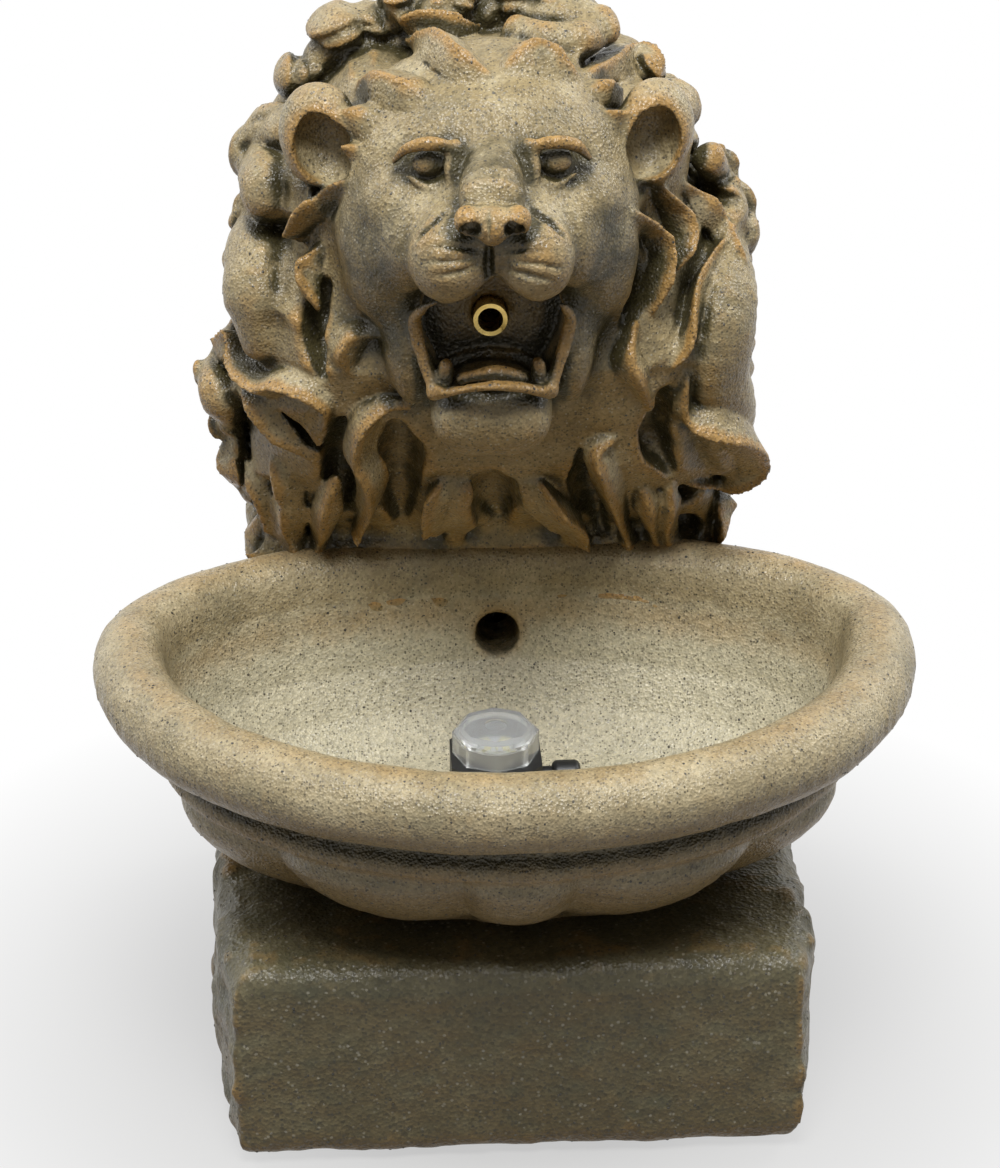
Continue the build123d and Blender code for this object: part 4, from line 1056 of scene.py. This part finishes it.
# The hollow behind the face, closed by the back plate
PLATE_LOW, PLATE_HIGH = millimetres("back_plate")
PLATE_FIT = 0.3
HOLLOW_INSET = 16
PLATE_ARCH = 50
HOLLOW_Y = 36
HOLLOW_FLOOR_Z = 205
NECK_Y = 82
FOOT_HALF_WIDTH = 80
FOOT_HAIR_LOW = np.array([HEAD_X - FOOT_HALF_WIDTH, 18, 116])
FOOT_HAIR_HIGH = np.array([HEAD_X + FOOT_HALF_WIDTH, 60, 156])
FOOT_BLEND = 9.0
FOOT_FADE_Z = 132
FOOT_FADE = 8
FOOT_SIDE_FADE = 14
RIM_COVER = 1.5
RIM_LAP = 2.6
SPOUT_FIT = 5.2
COLUMN_HEIGHTS = (60, 126, 140, 150, 160)
COLUMN_HALF_WIDTHS = (76.4, 76.4, 77, 84, 120)


def plate_outline(inset):
    """The back plate's outline: straight sides under a rounded top."""
    half = (PLATE_HIGH[0] - PLATE_LOW[0]) / 2 + PLATE_FIT - inset
    spring = PLATE_HIGH[2] + PLATE_FIT - PLATE_ARCH
    foot = PLATE_LOW[2]
    turns = np.linspace(0, math.pi, 25)
    arch = [(HEAD_X + half * math.cos(a), spring + (PLATE_ARCH - inset) * math.sin(a)) for a in turns]
    return [(HEAD_X + half, foot - 2)] + arch + [(HEAD_X - half, foot - 2)]


class HollowForm:
    """The space behind the face and down the column."""
    low = np.array([PLATE_LOW[0], HOLLOW_Y, PLATE_LOW[2] - 2])
    high = np.array([PLATE_HIGH[0], BACK_Y + 6, PLATE_HIGH[2]])
    side = [
        (WELL_FRONT_Y, 60), (WELL_FRONT_Y, 92), (NECK_Y, 116), (NECK_Y, 151), (HOLLOW_Y, HOLLOW_FLOOR_Z),
        (HOLLOW_Y, 265), (HOLLOW_Y + 25, 290), (BACK_Y + 9, 290), (BACK_Y + 9, 60),
    ]

    def distance(self, x, y, z):
        outline = np.array(plate_outline(HOLLOW_INSET))
        front = outline_distance(outline, x[:, :, 0], z[:, 0, :])[:, None, :]
        side = outline_distance(np.array(self.side, float), y[0], z[0])[None, :, :]
        return np.maximum(front, side).astype(np.float32)


def rebate_form():
    return Prism(plate_outline(0), PLATE_LOW[1], BACK_Y + 9)


def rest_on_rim(clay):
    """Runs the foot of the hair out onto the basin's rim."""
    cuts, x, y, z = clay.window(FOOT_HAIR_LOW, FOOT_HAIR_HIGH)
    head = clay.field[cuts]
    basin = np.maximum(BasinForm().distance(x, y, z), -BowlForm().distance(x, y, z)) + RIM_COVER
    blend = FOOT_BLEND * np.clip((FOOT_HALF_WIDTH - np.abs(x - HEAD_X)) / FOOT_SIDE_FADE, 0.02, 1)
    blend = blend * np.clip((z - FOOT_FADE_Z) / FOOT_FADE, 0.02, 1)
    clay.field[cuts] = np.where(head < blend, blend_min(head, basin, blend), head)


def hollow_head(clay):
    """Opens the head for the plate, the hollow, the spout tube, the overflow and the basin."""
    clay.cut(2, HollowForm())
    spout = Bore(HEAD_X, SPOUT_Z, SPOUT_FIT, -20, HOLLOW_Y + 2)
    clay.cut(0.3, rebate_form(), spout)
    clay.cut(0.5, BasinForm(-RIM_LAP))
    clay.cut(2.5, BowlClear())
    clay.cut(0.5, Bore(BASIN_X, OVERFLOW_Z, OVERFLOW_RADIUS, BASIN_Y, BACK_Y - 6))
    clay.field[:] = np.maximum(clay.field, clay.axes[1][None, :, None] - BACK_Y)
    half = np.interp(clay.axes[2], COLUMN_HEIGHTS, COLUMN_HALF_WIDTHS).astype(np.float32)
    across = np.abs(clay.axes[0] - np.float32(HEAD_X))[:, None, None]
    clay.field[:] = blend_max(clay.field, across - half[None, None, :], 1.0)
    clay.field[:] = np.maximum(clay.field, PLINTH_HIGH[2] - 1 - clay.axes[2][None, None, :])


# Materials
WHITE = (1, 1, 1, 1)


def opaque(colour):
    return (*colour, 1) if isinstance(colour, tuple) else colour


class Tree:
    """A node tree, with short ways to add nodes and join them."""

    def __init__(self, tree):
        self.tree = tree

    def add(self, kind, sockets=None, **settings):
        node = self.tree.nodes.new(kind)
        for key, value in settings.items():
            setattr(node, key, value)
        for key, value in (sockets or {}).items():
            self.put(node.inputs[key], value)
        return node

    def put(self, target, value):
        """Sets a socket, or joins another node's output to it."""
        if isinstance(value, bpy.types.NodeSocket):
            self.tree.links.new(value, target)
        else:
            target.default_value = value

    def maths(self, operation, a, b):
        return self.add("ShaderNodeMath", {0: a, 1: b}, operation=operation).outputs[0]

    def seen(self):
        """1 for what is looked at straight, in a reflection or through something clear."""
        path = self.add("ShaderNodeLightPath").outputs
        seen = self.maths("MAXIMUM", path["Is Camera Ray"], path["Is Glossy Ray"])
        return self.maths("MAXIMUM", seen, path["Is Transmission Ray"])

    def cover(self, share, under, over, output):
        """Shows one shader over another by a share."""
        both = self.add("ShaderNodeMixShader", {"Fac": share, 1: under.outputs[0], 2: over.outputs[0]})
        self.put(self.tree.nodes[output].inputs["Surface"], both.outputs[0])


class Nodes(Tree):
    """A material's node tree."""

    def __init__(self, name):
        self.material = bpy.data.materials.new(name)
        self.material.use_nodes = True
        super().__init__(self.material.node_tree)
        self.shader = self.tree.nodes["Principled BSDF"]
        self.places = self.add("ShaderNodeTexCoord").outputs["Object"]

    def noise(self, scale, detail=3.0, roughness=0.55):
        sockets = {"Vector": self.places, "Scale": scale, "Detail": detail, "Roughness": roughness}
        return self.add("ShaderNodeTexNoise", sockets).outputs["Fac"]

    def cells(self, scale):
        return self.add("ShaderNodeTexVoronoi", {"Vector": self.places, "Scale": scale}).outputs

    def ramp(self, value, stops):
        """Colours or numbers by a value, from (place, colour) stops."""
        node = self.add("ShaderNodeValToRGB", {"Fac": value})
        while len(node.color_ramp.elements) < len(stops):
            node.color_ramp.elements.new(0.5)
        for element, (place, colour) in zip(node.color_ramp.elements, stops):
            element.position = place
            element.color = opaque(colour if isinstance(colour, tuple) else (colour,) * 3)
        return node.outputs["Color"]

    def range(self, value, low, high, to_low=0.0, to_high=1.0):
        sockets = {"Value": value, "From Min": low, "From Max": high, "To Min": to_low, "To Max": to_high}
        return self.add("ShaderNodeMapRange", sockets).outputs["Result"]

    def gloss(self, scale, detail, low, high):
        """A roughness that varies from place to place."""
        return self.range(self.noise(scale, detail), 0.3, 0.7, low, high)

    def mix(self, share, a, b, way="MIX"):
        sockets = {"Factor": share, "A": opaque(a), "B": opaque(b)}
        return self.add("ShaderNodeMix", sockets, data_type="RGBA", blend_type=way).outputs["Result"]

    def attribute(self, name):
        return self.add("ShaderNodeAttribute", attribute_name=name).outputs["Fac"]

    def upward(self):
        """How far the surface faces up."""
        normal = self.add("ShaderNodeNewGeometry").outputs["Normal"]
        return self.add("ShaderNodeSeparateXYZ", {0: normal}).outputs["Z"]

    def bump(self, height, distance, strength, below=None):
        sockets = {"Height": height, "Distance": distance, "Strength": strength}
        if below:
            sockets["Normal"] = below
        return self.add("ShaderNodeBump", sockets).outputs["Normal"]

    def finish(self, **sockets):
        for name, value in sockets.items():
            self.put(self.shader.inputs[name.replace("_", " ")], value)
        return self.material


# Colours of the stones: body, pale and grey of each, ochre on what stands out, olive for painted shade in
# the hollows
BASIN_TONES = ((0.43, 0.352, 0.208), (0.56, 0.475, 0.30), (0.31, 0.262, 0.155))
LION_TONES = ((0.34, 0.262, 0.13), (0.50, 0.42, 0.255), (0.24, 0.197, 0.108))
# Plinth tones: partly the plinth's own darker stone, partly painted shade from the basin overhanging it
PLINTH_TONES = ((0.112, 0.097, 0.05), (0.17, 0.148, 0.082), (0.075, 0.072, 0.04))
OCHRE = (0.42, 0.245, 0.075)
# Olive: the painted shade in the hollows, and one tone of the bedding
OLIVE = (0.045, 0.038, 0.014)
BEDDING_TONES = (PLINTH_TONES[2], PLINTH_TONES[0], OLIVE)
# Painted shade: the warm dark laid on surfaces that face down
UNDERSIDE_SHADE = (0.31, 0.17, 0.04)
# Painted light: the pale tone laid inside the bowl
BOWL_LIGHT = (0.62, 0.575, 0.42)
GRAIN_DARK = (0.07, 0.062, 0.04)
GRAIN_PALE = (0.78, 0.73, 0.6)

# How much of each colour is laid over the body
BOWL_LIGHT_SHARE = 0.85
# Painted highlight on broad raised forms
RAISED_HIGHLIGHT_SHARE = 0.65
UNDERSIDE_SHADE_SHARE = 0.55
CHEEK_SHADE_SHARE = 0.28
PALE_GRAIN_SHARE = 0.35
PATCHINESS = 0.12
GRAIN_SHADES = [(0.0, 0.5), (0.3, 0.84), (0.6, 1.0), (1.0, 1.25)]
STONE_COAT = {"Coat_Weight": 0.35, "Coat_Roughness": 0.24, "Specular_IOR_Level": 0.2}

# Metals and other finishes
BRASS_TONES = [(0.3, (0.50, 0.34, 0.09)), (0.6, (0.72, 0.53, 0.18)), (0.8, (0.42, 0.27, 0.08))]
MINERAL_TONES = [(0.3, (0.028, 0.026, 0.02)), (0.55, (0.07, 0.062, 0.045)), (0.75, (0.16, 0.12, 0.07))]
LED_TONES = [(0.35, (0.85, 0.74, 0.25)), (0.7, (0.93, 0.88, 0.55))]
BOARD_TONES = [(0.2, (0.55, 0.57, 0.55)), (0.5, (0.72, 0.74, 0.72))]


def weathered_with_painted_light(n, tones, ochre_share, hollow_shade_share):
    """Patchy stone, ochre on its ridges, with painted light inside the bowl, painted highlights where it
    stands out broadly, and painted shade on its undersides, cheeks and hollows.
    """
    body, pale, grey = tones
    colour = n.ramp(n.noise(55, 4, 0.6), [(0.3, grey), (0.5, body), (0.72, pale)])
    patchy = n.range(n.noise(150), 0.3, 0.7, -PATCHINESS, PATCHINESS)
    # Painted light: the inside of the bowl is made paler
    colour = n.mix(n.maths("MULTIPLY", n.attribute("painted_bowl_light"), BOWL_LIGHT_SHARE), colour, BOWL_LIGHT)
    broad = n.attribute("broad_relief")
    # Painted highlight: broad raised forms are made paler
    colour = n.mix(n.range(broad, 0.3, 0.85, 0.0, RAISED_HIGHLIGHT_SHARE), colour, pale)
    fine = n.maths("MULTIPLY", n.attribute("fine_relief"), 0.95)
    raised = n.maths("ADD", n.maths("MULTIPLY", broad, 0.12), fine)
    raised = n.maths("ADD", raised, patchy)
    colour = n.mix(n.range(raised, 0.25, 0.75, 0.0, ochre_share), colour, OCHRE)
    # Painted shade: surfaces that face down are tinted toward a warm dark ochre
    colour = n.mix(n.range(n.upward(), 0.15, -0.45, 0.0, UNDERSIDE_SHADE_SHARE), colour, UNDERSIDE_SHADE)
    # Painted shade: hollows are darkened toward olive by how closely the form closes over them
    sheltered = n.maths("SUBTRACT", n.attribute("shelter"), patchy)
    # Painted shade on the cheeks and jaws adds to the hollows' shade
    sheltered = n.maths("ADD", sheltered, n.maths("MULTIPLY", n.attribute("cheek_shade"), CHEEK_SHADE_SHARE))
    return n.mix(n.range(sheltered, 0.1, 0.46, 0.0, hollow_shade_share), colour, OLIVE)


def speckled(n, colour, grains, grain_scale):
    """Sand grains of many shades, with dark and pale specks among them."""
    colour = n.mix(0.9, colour, n.ramp(grains["Color"], GRAIN_SHADES), "MULTIPLY")
    specks = n.cells(grain_scale * 1.1)
    pick = n.add("ShaderNodeSeparateColor", {"Color": specks["Color"]}).outputs
    core = n.range(specks["Distance"], 0.3, 0.6, 0.8, 0.0)
    dark = n.maths("MULTIPLY", n.range(pick["Red"], 0.76, 0.9), core)
    colour = n.mix(dark, colour, GRAIN_DARK)
    light = n.maths("MULTIPLY", n.range(pick["Green"], 0.92, 0.97), core)
    return n.mix(n.maths("MULTIPLY", light, PALE_GRAIN_SHARE), colour, GRAIN_PALE)


def stone(name, tones, ochre_share, hollow_shade_share, grain_scale, roughness):
    """Cast stone with sand grains, rubbed ochre on its ridges, and painted light and shade, darkest in
    its hollows.
    """
    n = Nodes(name)
    grains = n.cells(grain_scale)
    colour = speckled(n, weathered_with_painted_light(n, tones, ochre_share, hollow_shade_share), grains, grain_scale)
    gloss = n.gloss(700, 2, roughness - 0.14, roughness + 0.14)
    coarse = n.bump(n.noise(430), 0.0009, 0.5)
    relief = n.bump(grains["Distance"], 0.0004, 0.6, coarse)
    return n.finish(Base_Color=colour, Roughness=gloss, Normal=relief, Coat_Normal=relief, **STONE_COAT)


def moulded(name, colour, roughness, grain=900, depth=0.00005, scuff=0.25):
    """Moulded plastic or rubber with a fine grain and faint scuffs."""
    n = Nodes(name)
    pale = tuple(min(1.0, c * (1 + scuff) + 0.004) for c in colour)
    tone = n.ramp(n.noise(140, 4), [(0.35, colour), (0.75, pale)])
    gloss = n.gloss(260, 3, roughness - 0.08, roughness + 0.08)
    return n.finish(Base_Color=tone, Roughness=gloss, Normal=n.bump(n.noise(grain, 2), depth, 0.6))


def mineral():
    """Dark, glossy mineral."""
    n = Nodes("mineral_grain")
    tone = n.ramp(n.noise(900, 2), MINERAL_TONES)
    return n.finish(Base_Color=tone, Roughness=n.gloss(1500, 2, 0.25, 0.5))


def brass():
    n = Nodes("brass")
    tone = n.ramp(n.noise(260, 4), BRASS_TONES)
    relief = n.bump(n.noise(900, 2), 0.00003, 0.5)
    return n.finish(Base_Color=tone, Metallic=1.0, Roughness=n.gloss(500, 3, 0.2, 0.42), Normal=relief)


def metal(name, dark, light, roughness):
    n = Nodes(name)
    tone = n.ramp(n.noise(400, 3), [(0.3, dark), (0.7, light)])
    gloss = n.gloss(600, 2, roughness - 0.1, roughness + 0.1)
    relief = n.bump(n.noise(900, 2), 0.00003, 0.4)
    return n.finish(Base_Color=tone, Metallic=1.0, Roughness=gloss, Normal=relief)


def clear(name, tint, roughness, ior, share):
    n = Nodes(name)
    gloss = n.range(n.noise(300, 3), 0.35, 0.75, roughness, roughness + 0.06)
    wave = n.bump(n.noise(120, 2), 0.0002, 0.25)
    glass = {"Transmission_Weight": share, "IOR": ior}
    return n.finish(Base_Color=opaque(tint), Roughness=gloss, Normal=wave, **glass)


def led():
    n = Nodes("led")
    return n.finish(Base_Color=n.ramp(n.noise(900, 2), LED_TONES), Roughness=n.gloss(500, 2, 0.25, 0.4))


def board():
    n = Nodes("circuit_board")
    tone = n.ramp(n.cells(700)["Distance"], BOARD_TONES)
    return n.finish(Base_Color=tone, Roughness=n.gloss(400, 2, 0.3, 0.5))


def finishes():
    return {
        "lion_stone": stone("lion_stone", LION_TONES, 0.92, 0.95, 1150, 0.42),
        "cast_stone": stone("cast_stone", BASIN_TONES, 0.5, 0.9, 1250, 0.42),
        "plinth_stone": stone("plinth_stone", PLINTH_TONES, 0.6, 0.7, 850, 0.5),
        "bedding": stone("bedding", BEDDING_TONES, 0.2, 0.5, 900, 0.7),
        "mineral_grain": mineral(),
        "brass": brass(),
        "black_rubber": moulded("black_rubber", (0.012, 0.012, 0.012), 0.62, 700, 0.00008),
        "clear_hose": clear("clear_hose", (0.9, 0.93, 0.9), 0.18, 1.42, 0.9),
        "black_plastic": moulded("black_plastic", (0.011, 0.0115, 0.012), 0.42),
        "white_plastic": moulded("white_plastic", (0.78, 0.78, 0.75), 0.4, scuff=0.08),
        "potting_resin": moulded("potting_resin", (0.02, 0.02, 0.022), 0.25, 200, 0.0002),
        "ferrite": moulded("ferrite", (0.05, 0.05, 0.052), 0.4, 1200, 0.00008),
        "shaft_ceramic": moulded("shaft_ceramic", (0.75, 0.75, 0.72), 0.2, scuff=0.05),
        "stator_steel": metal("stator_steel", (0.35, 0.35, 0.36), (0.55, 0.55, 0.56), 0.4),
        "copper_wire": metal("copper_wire", (0.55, 0.22, 0.1), (0.75, 0.34, 0.17), 0.35),
        "clear_lens": clear("clear_lens", (0.9, 0.92, 0.92), 0.08, 1.46, 0.78),
        "circuit_board": board(),
        "led": led(),
    }


# Pieces grown by geometry nodes: mineral grains on the stone, and the pump's winding
GRAIN_SEED = 7
GRAIN_DENSITY = 9000.0
GRAIN_RADIUS = 0.00045
GRAIN_LEAST = (0.6, 0.6, 0.35)
GRAIN_MOST = (1.3, 1.3, 0.6)
GRAIN_INPUTS = {"Density": "Float", "Radius": "Float", "Seed": "Int", "Finish": "Material"}
WIRE_RADIUS = 0.00036
WIRE_CORNER = 0.0016
WIRE_TURNS = 16
WINDING_INPUTS = {
    "Length": "Float", "Width": "Float", "Height": "Float", "Wire": "Float", "Corner": "Float",
    "Turns": "Int", "Finish": "Material",
}


class Growth(Tree):
    """A geometry tree with named inputs."""

    def __init__(self, name, inputs):
        super().__init__(bpy.data.node_groups.new(name, "GeometryNodeTree"))
        face = self.tree.interface
        face.new_socket("Geometry", in_out="INPUT", socket_type="NodeSocketGeometry")
        for label, kind in inputs.items():
            face.new_socket(label, in_out="INPUT", socket_type="NodeSocket" + kind)
        face.new_socket("Geometry", in_out="OUTPUT", socket_type="NodeSocketGeometry")
        self.given = self.tree.nodes.new("NodeGroupInput").outputs

    def grow(self, kind, sockets, **settings):
        return self.add(kind, sockets, **settings).outputs

    def finish(self, instances):
        real = self.grow("GeometryNodeRealizeInstances", {"Geometry": instances})
        dressed = {"Geometry": real[0], "Material": self.given["Finish"]}
        faced = self.grow("GeometryNodeSetMaterial", dressed)
        self.add("NodeGroupOutput", {"Geometry": faced[0]})
        return self.tree


def grain_tree():
    """Flat-faced grains strewn over a surface, half sunk in it."""
    g = Growth("mineral_grains", GRAIN_INPUTS)
    seed = g.given["Seed"]
    strewn = {"Mesh": g.given["Geometry"], "Density": g.given["Density"], "Seed": seed}
    points = g.grow("GeometryNodeDistributePointsOnFaces", strewn)
    grain = g.grow("GeometryNodeMeshIcoSphere", {"Radius": g.given["Radius"], "Subdivisions": 1})
    between = {"Min": GRAIN_LEAST, "Max": GRAIN_MOST, "Seed": seed}
    sizes = g.add("FunctionNodeRandomValue", between, data_type="FLOAT_VECTOR").outputs
    placed = {"Points": points["Points"], "Instance": grain["Mesh"]}
    turned = {"Rotation": points["Rotation"], "Scale": sizes["Value"]}
    return g.finish(g.grow("GeometryNodeInstanceOnPoints", {**placed, **turned})[0])


def winding_tree():
    """Turns of wire side by side along Y, each a rounded rectangle."""
    g = Growth("copper_winding", WINDING_INPUTS)
    half = g.maths("MULTIPLY", g.given["Length"], 0.5)
    first = g.add("ShaderNodeCombineXYZ", {"Y": g.maths("MULTIPLY", half, -1.0)}).outputs[0]
    last = g.add("ShaderNodeCombineXYZ", {"Y": half}).outputs[0]
    ends = {"Count": g.given["Turns"], "Start Location": first, "Offset": last}
    line = g.grow("GeometryNodeMeshLine", ends, mode="END_POINTS")
    sides = {"Width": g.given["Width"], "Height": g.given["Height"]}
    turn = g.grow("GeometryNodeCurvePrimitiveQuadrilateral", sides)
    corners = {"Curve": turn[0], "Count": 4, "Radius": g.given["Corner"]}
    turn = g.grow("GeometryNodeFilletCurve", corners, mode="POLY")
    wire = g.grow("GeometryNodeCurvePrimitiveCircle", {"Resolution": 8, "Radius": g.given["Wire"]})
    wire = g.grow("GeometryNodeCurveToMesh", {"Curve": turn[0], "Profile Curve": wire[0]})
    upright = (math.pi / 2, 0.0, 0.0)
    placed = {"Points": line[0], "Instance": wire[0], "Rotation": upright}
    return g.finish(g.grow("GeometryNodeInstanceOnPoints", placed)[0])


def grown(name, tree, mesh, values):
    """The plain mesh that a tree makes from another mesh, as a new piece."""
    holder = new_piece(name + "_base", mesh)
    modifier = holder.modifiers.new("grow", "NODES")
    modifier.node_group = tree
    for item in tree.interface.items_tree:
        if item.in_out == "INPUT" and item.name in values:
            modifier[item.identifier] = values[item.name]
    shown = holder.evaluated_get(bpy.context.evaluated_depsgraph_get())
    result = bpy.data.meshes.new_from_object(shown)
    bpy.data.objects.remove(holder)
    return new_piece(name, result)


def grow_grains(castings, look):
    """Dark mineral grains that stand out of all three castings."""
    joined = bmesh.new()
    for casting in castings:
        joined.from_mesh(casting.data)
    base = bpy.data.meshes.new("castings")
    joined.to_mesh(base)
    joined.free()
    values = {"Density": GRAIN_DENSITY, "Radius": GRAIN_RADIUS, "Seed": GRAIN_SEED, "Finish": look}
    piece = grown("stone_grains", grain_tree(), base, values)
    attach(piece, "fountain")


def grow_winding(look):
    """The stator's coil, turn by turn."""
    low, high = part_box("stator_coil")
    size = [high[k] - low[k] - 2 * WIRE_RADIUS for k in range(3)]
    values = {"Length": size[1], "Width": size[0], "Height": size[2]}
    values.update({"Wire": WIRE_RADIUS, "Corner": WIRE_CORNER, "Turns": WIRE_TURNS, "Finish": look})
    piece = grown("coil_turns", winding_tree(), bpy.data.meshes.new("coil"), values)
    piece.data.transform(Matrix.Translation((Vector(low) + Vector(high)) / 2))
    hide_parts("stator_coil")
    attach(piece, "fountain")


# Stage and light: each lamp's place, what it points at, its size and its power
FLOOR_HALF = 6.0
FLOOR_TONES = [(0.3, (0.2, 0.197, 0.19)), (0.7, (0.23, 0.227, 0.22))]
FLOOR_SHADOW = 0.08
FLOOR_WHITE = 0.24
FLOOR_LEAST_WHITE = 0.55
WORLD_STRENGTH = 0.05
LAMPS = {
    "key": ((-0.06, -0.52, 1.4), (0.0, 0.0, 0.18), 0.5, 19.0),
    "left_side": ((-0.88, 0.4, 0.9), (0.0, 0.0, 0.18), 0.5, 4.6),
    "right_side": ((0.88, 0.4, 0.9), (0.0, 0.0, 0.18), 0.5, 5.4),
}


def floor_finish():
    """Pale near the object, so that it keeps the shadow, and plain white further out."""
    n = Nodes("floor")
    n.finish(Base_Color=n.ramp(n.noise(2, 2), FLOOR_TONES), Roughness=0.9)
    away = n.add("ShaderNodeVectorMath", {0: n.places}, operation="LENGTH").outputs["Value"]
    far = n.range(away, FLOOR_SHADOW, FLOOR_WHITE, FLOOR_LEAST_WHITE, 1.0)
    white = n.add("ShaderNodeEmission")
    n.cover(n.maths("MULTIPLY", far, n.seen()), n.shader, white, "Material Output")
    return n.material


def stage_floor():
    mesh = bpy.data.meshes.new("floor")
    corners = [(-1, -1), (1, -1), (1, 1), (-1, 1)]
    mesh.from_pydata([(FLOOR_HALF * x, FLOOR_HALF * y, 0) for x, y in corners], [], [(0, 1, 2, 3)])
    mesh.materials.append(floor_finish())
    floor = new_piece("floor", mesh)


def white_world():
    """A studio that looks white, and lights the object only faintly."""
    world = bpy.data.worlds.new("studio")
    bpy.context.scene.world = world
    world.use_nodes = True
    w = Tree(world.node_tree)
    faint = w.tree.nodes["Background"]
    w.put(faint.inputs["Color"], WHITE)
    w.put(faint.inputs["Strength"], WORLD_STRENGTH)
    white = w.add("ShaderNodeBackground", {"Color": WHITE, "Strength": 1.0})
    w.cover(w.seen(), faint, white, "World Output")


def studio_lamps():
    for name, (place, target, size, power) in LAMPS.items():
        lamp = bpy.data.lights.new(name, "AREA")
        lamp.size = size
        lamp.energy = power
        holder = new_piece(name, lamp)
        holder.location = place
        holder.rotation_euler = (Vector(target) - Vector(place)).to_track_quat("-Z", "Y").to_euler()


def photo_camera():
    right, up, towards = camera_axes()
    camera = bpy.data.cameras.new("photo")
    camera.sensor_width = SENSOR
    camera.lens = FOCAL_PIXELS * SENSOR / PHOTO_HEIGHT
    camera.clip_start = 0.01
    holder = new_piece("photo", camera)
    turn = Matrix([[right[k], up[k], towards[k]] for k in range(3)]).to_4x4()
    holder.matrix_world = Matrix.Translation(camera_place() * MM) @ turn
    bpy.context.scene.camera = holder


# The whole fountain
def dress_nodes(looks):
    """Gives every CAD node the finish of its slot."""
    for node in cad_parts.values():
        for k, material in enumerate(node.data.materials):
            slot = node.material_slots[k]
            slot.link = "OBJECT"
            slot.material = looks[material.name]


def set_casting(piece, node, look):
    piece.data.materials.append(look)
    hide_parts(node)
    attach(piece, "fountain")


def cast_lion(look):
    head = carve_head()
    rest_on_rim(head)
    hollow_head(head)
    lion = skin(head, "lion_head_casting")
    paint_cheek_shade(lion)
    set_casting(lion, "lion_head", look)
    return lion


def cast_basin(look):
    basin = skin(carve_basin(), "basin_casting")
    paint_bowl_light(basin)
    set_casting(basin, "basin", look)
    return basin


def cast_plinth(look):
    plinth = skin(carve_plinth(), "plinth_casting")
    set_casting(plinth, "plinth", look)
    return plinth


def main():
    bpy.context.scene.view_settings.view_transform = "Standard"
    photo_camera()
    stage_floor()
    white_world()
    studio_lamps()
    looks = finishes()
    dress_nodes(looks)
    lion = cast_lion(looks["lion_stone"])
    basin = cast_basin(looks["cast_stone"])
    plinth = cast_plinth(looks["plinth_stone"])
    grow_grains([lion, basin, plinth], looks["mineral_grain"])
    grow_winding(looks["copper_wire"])


main()
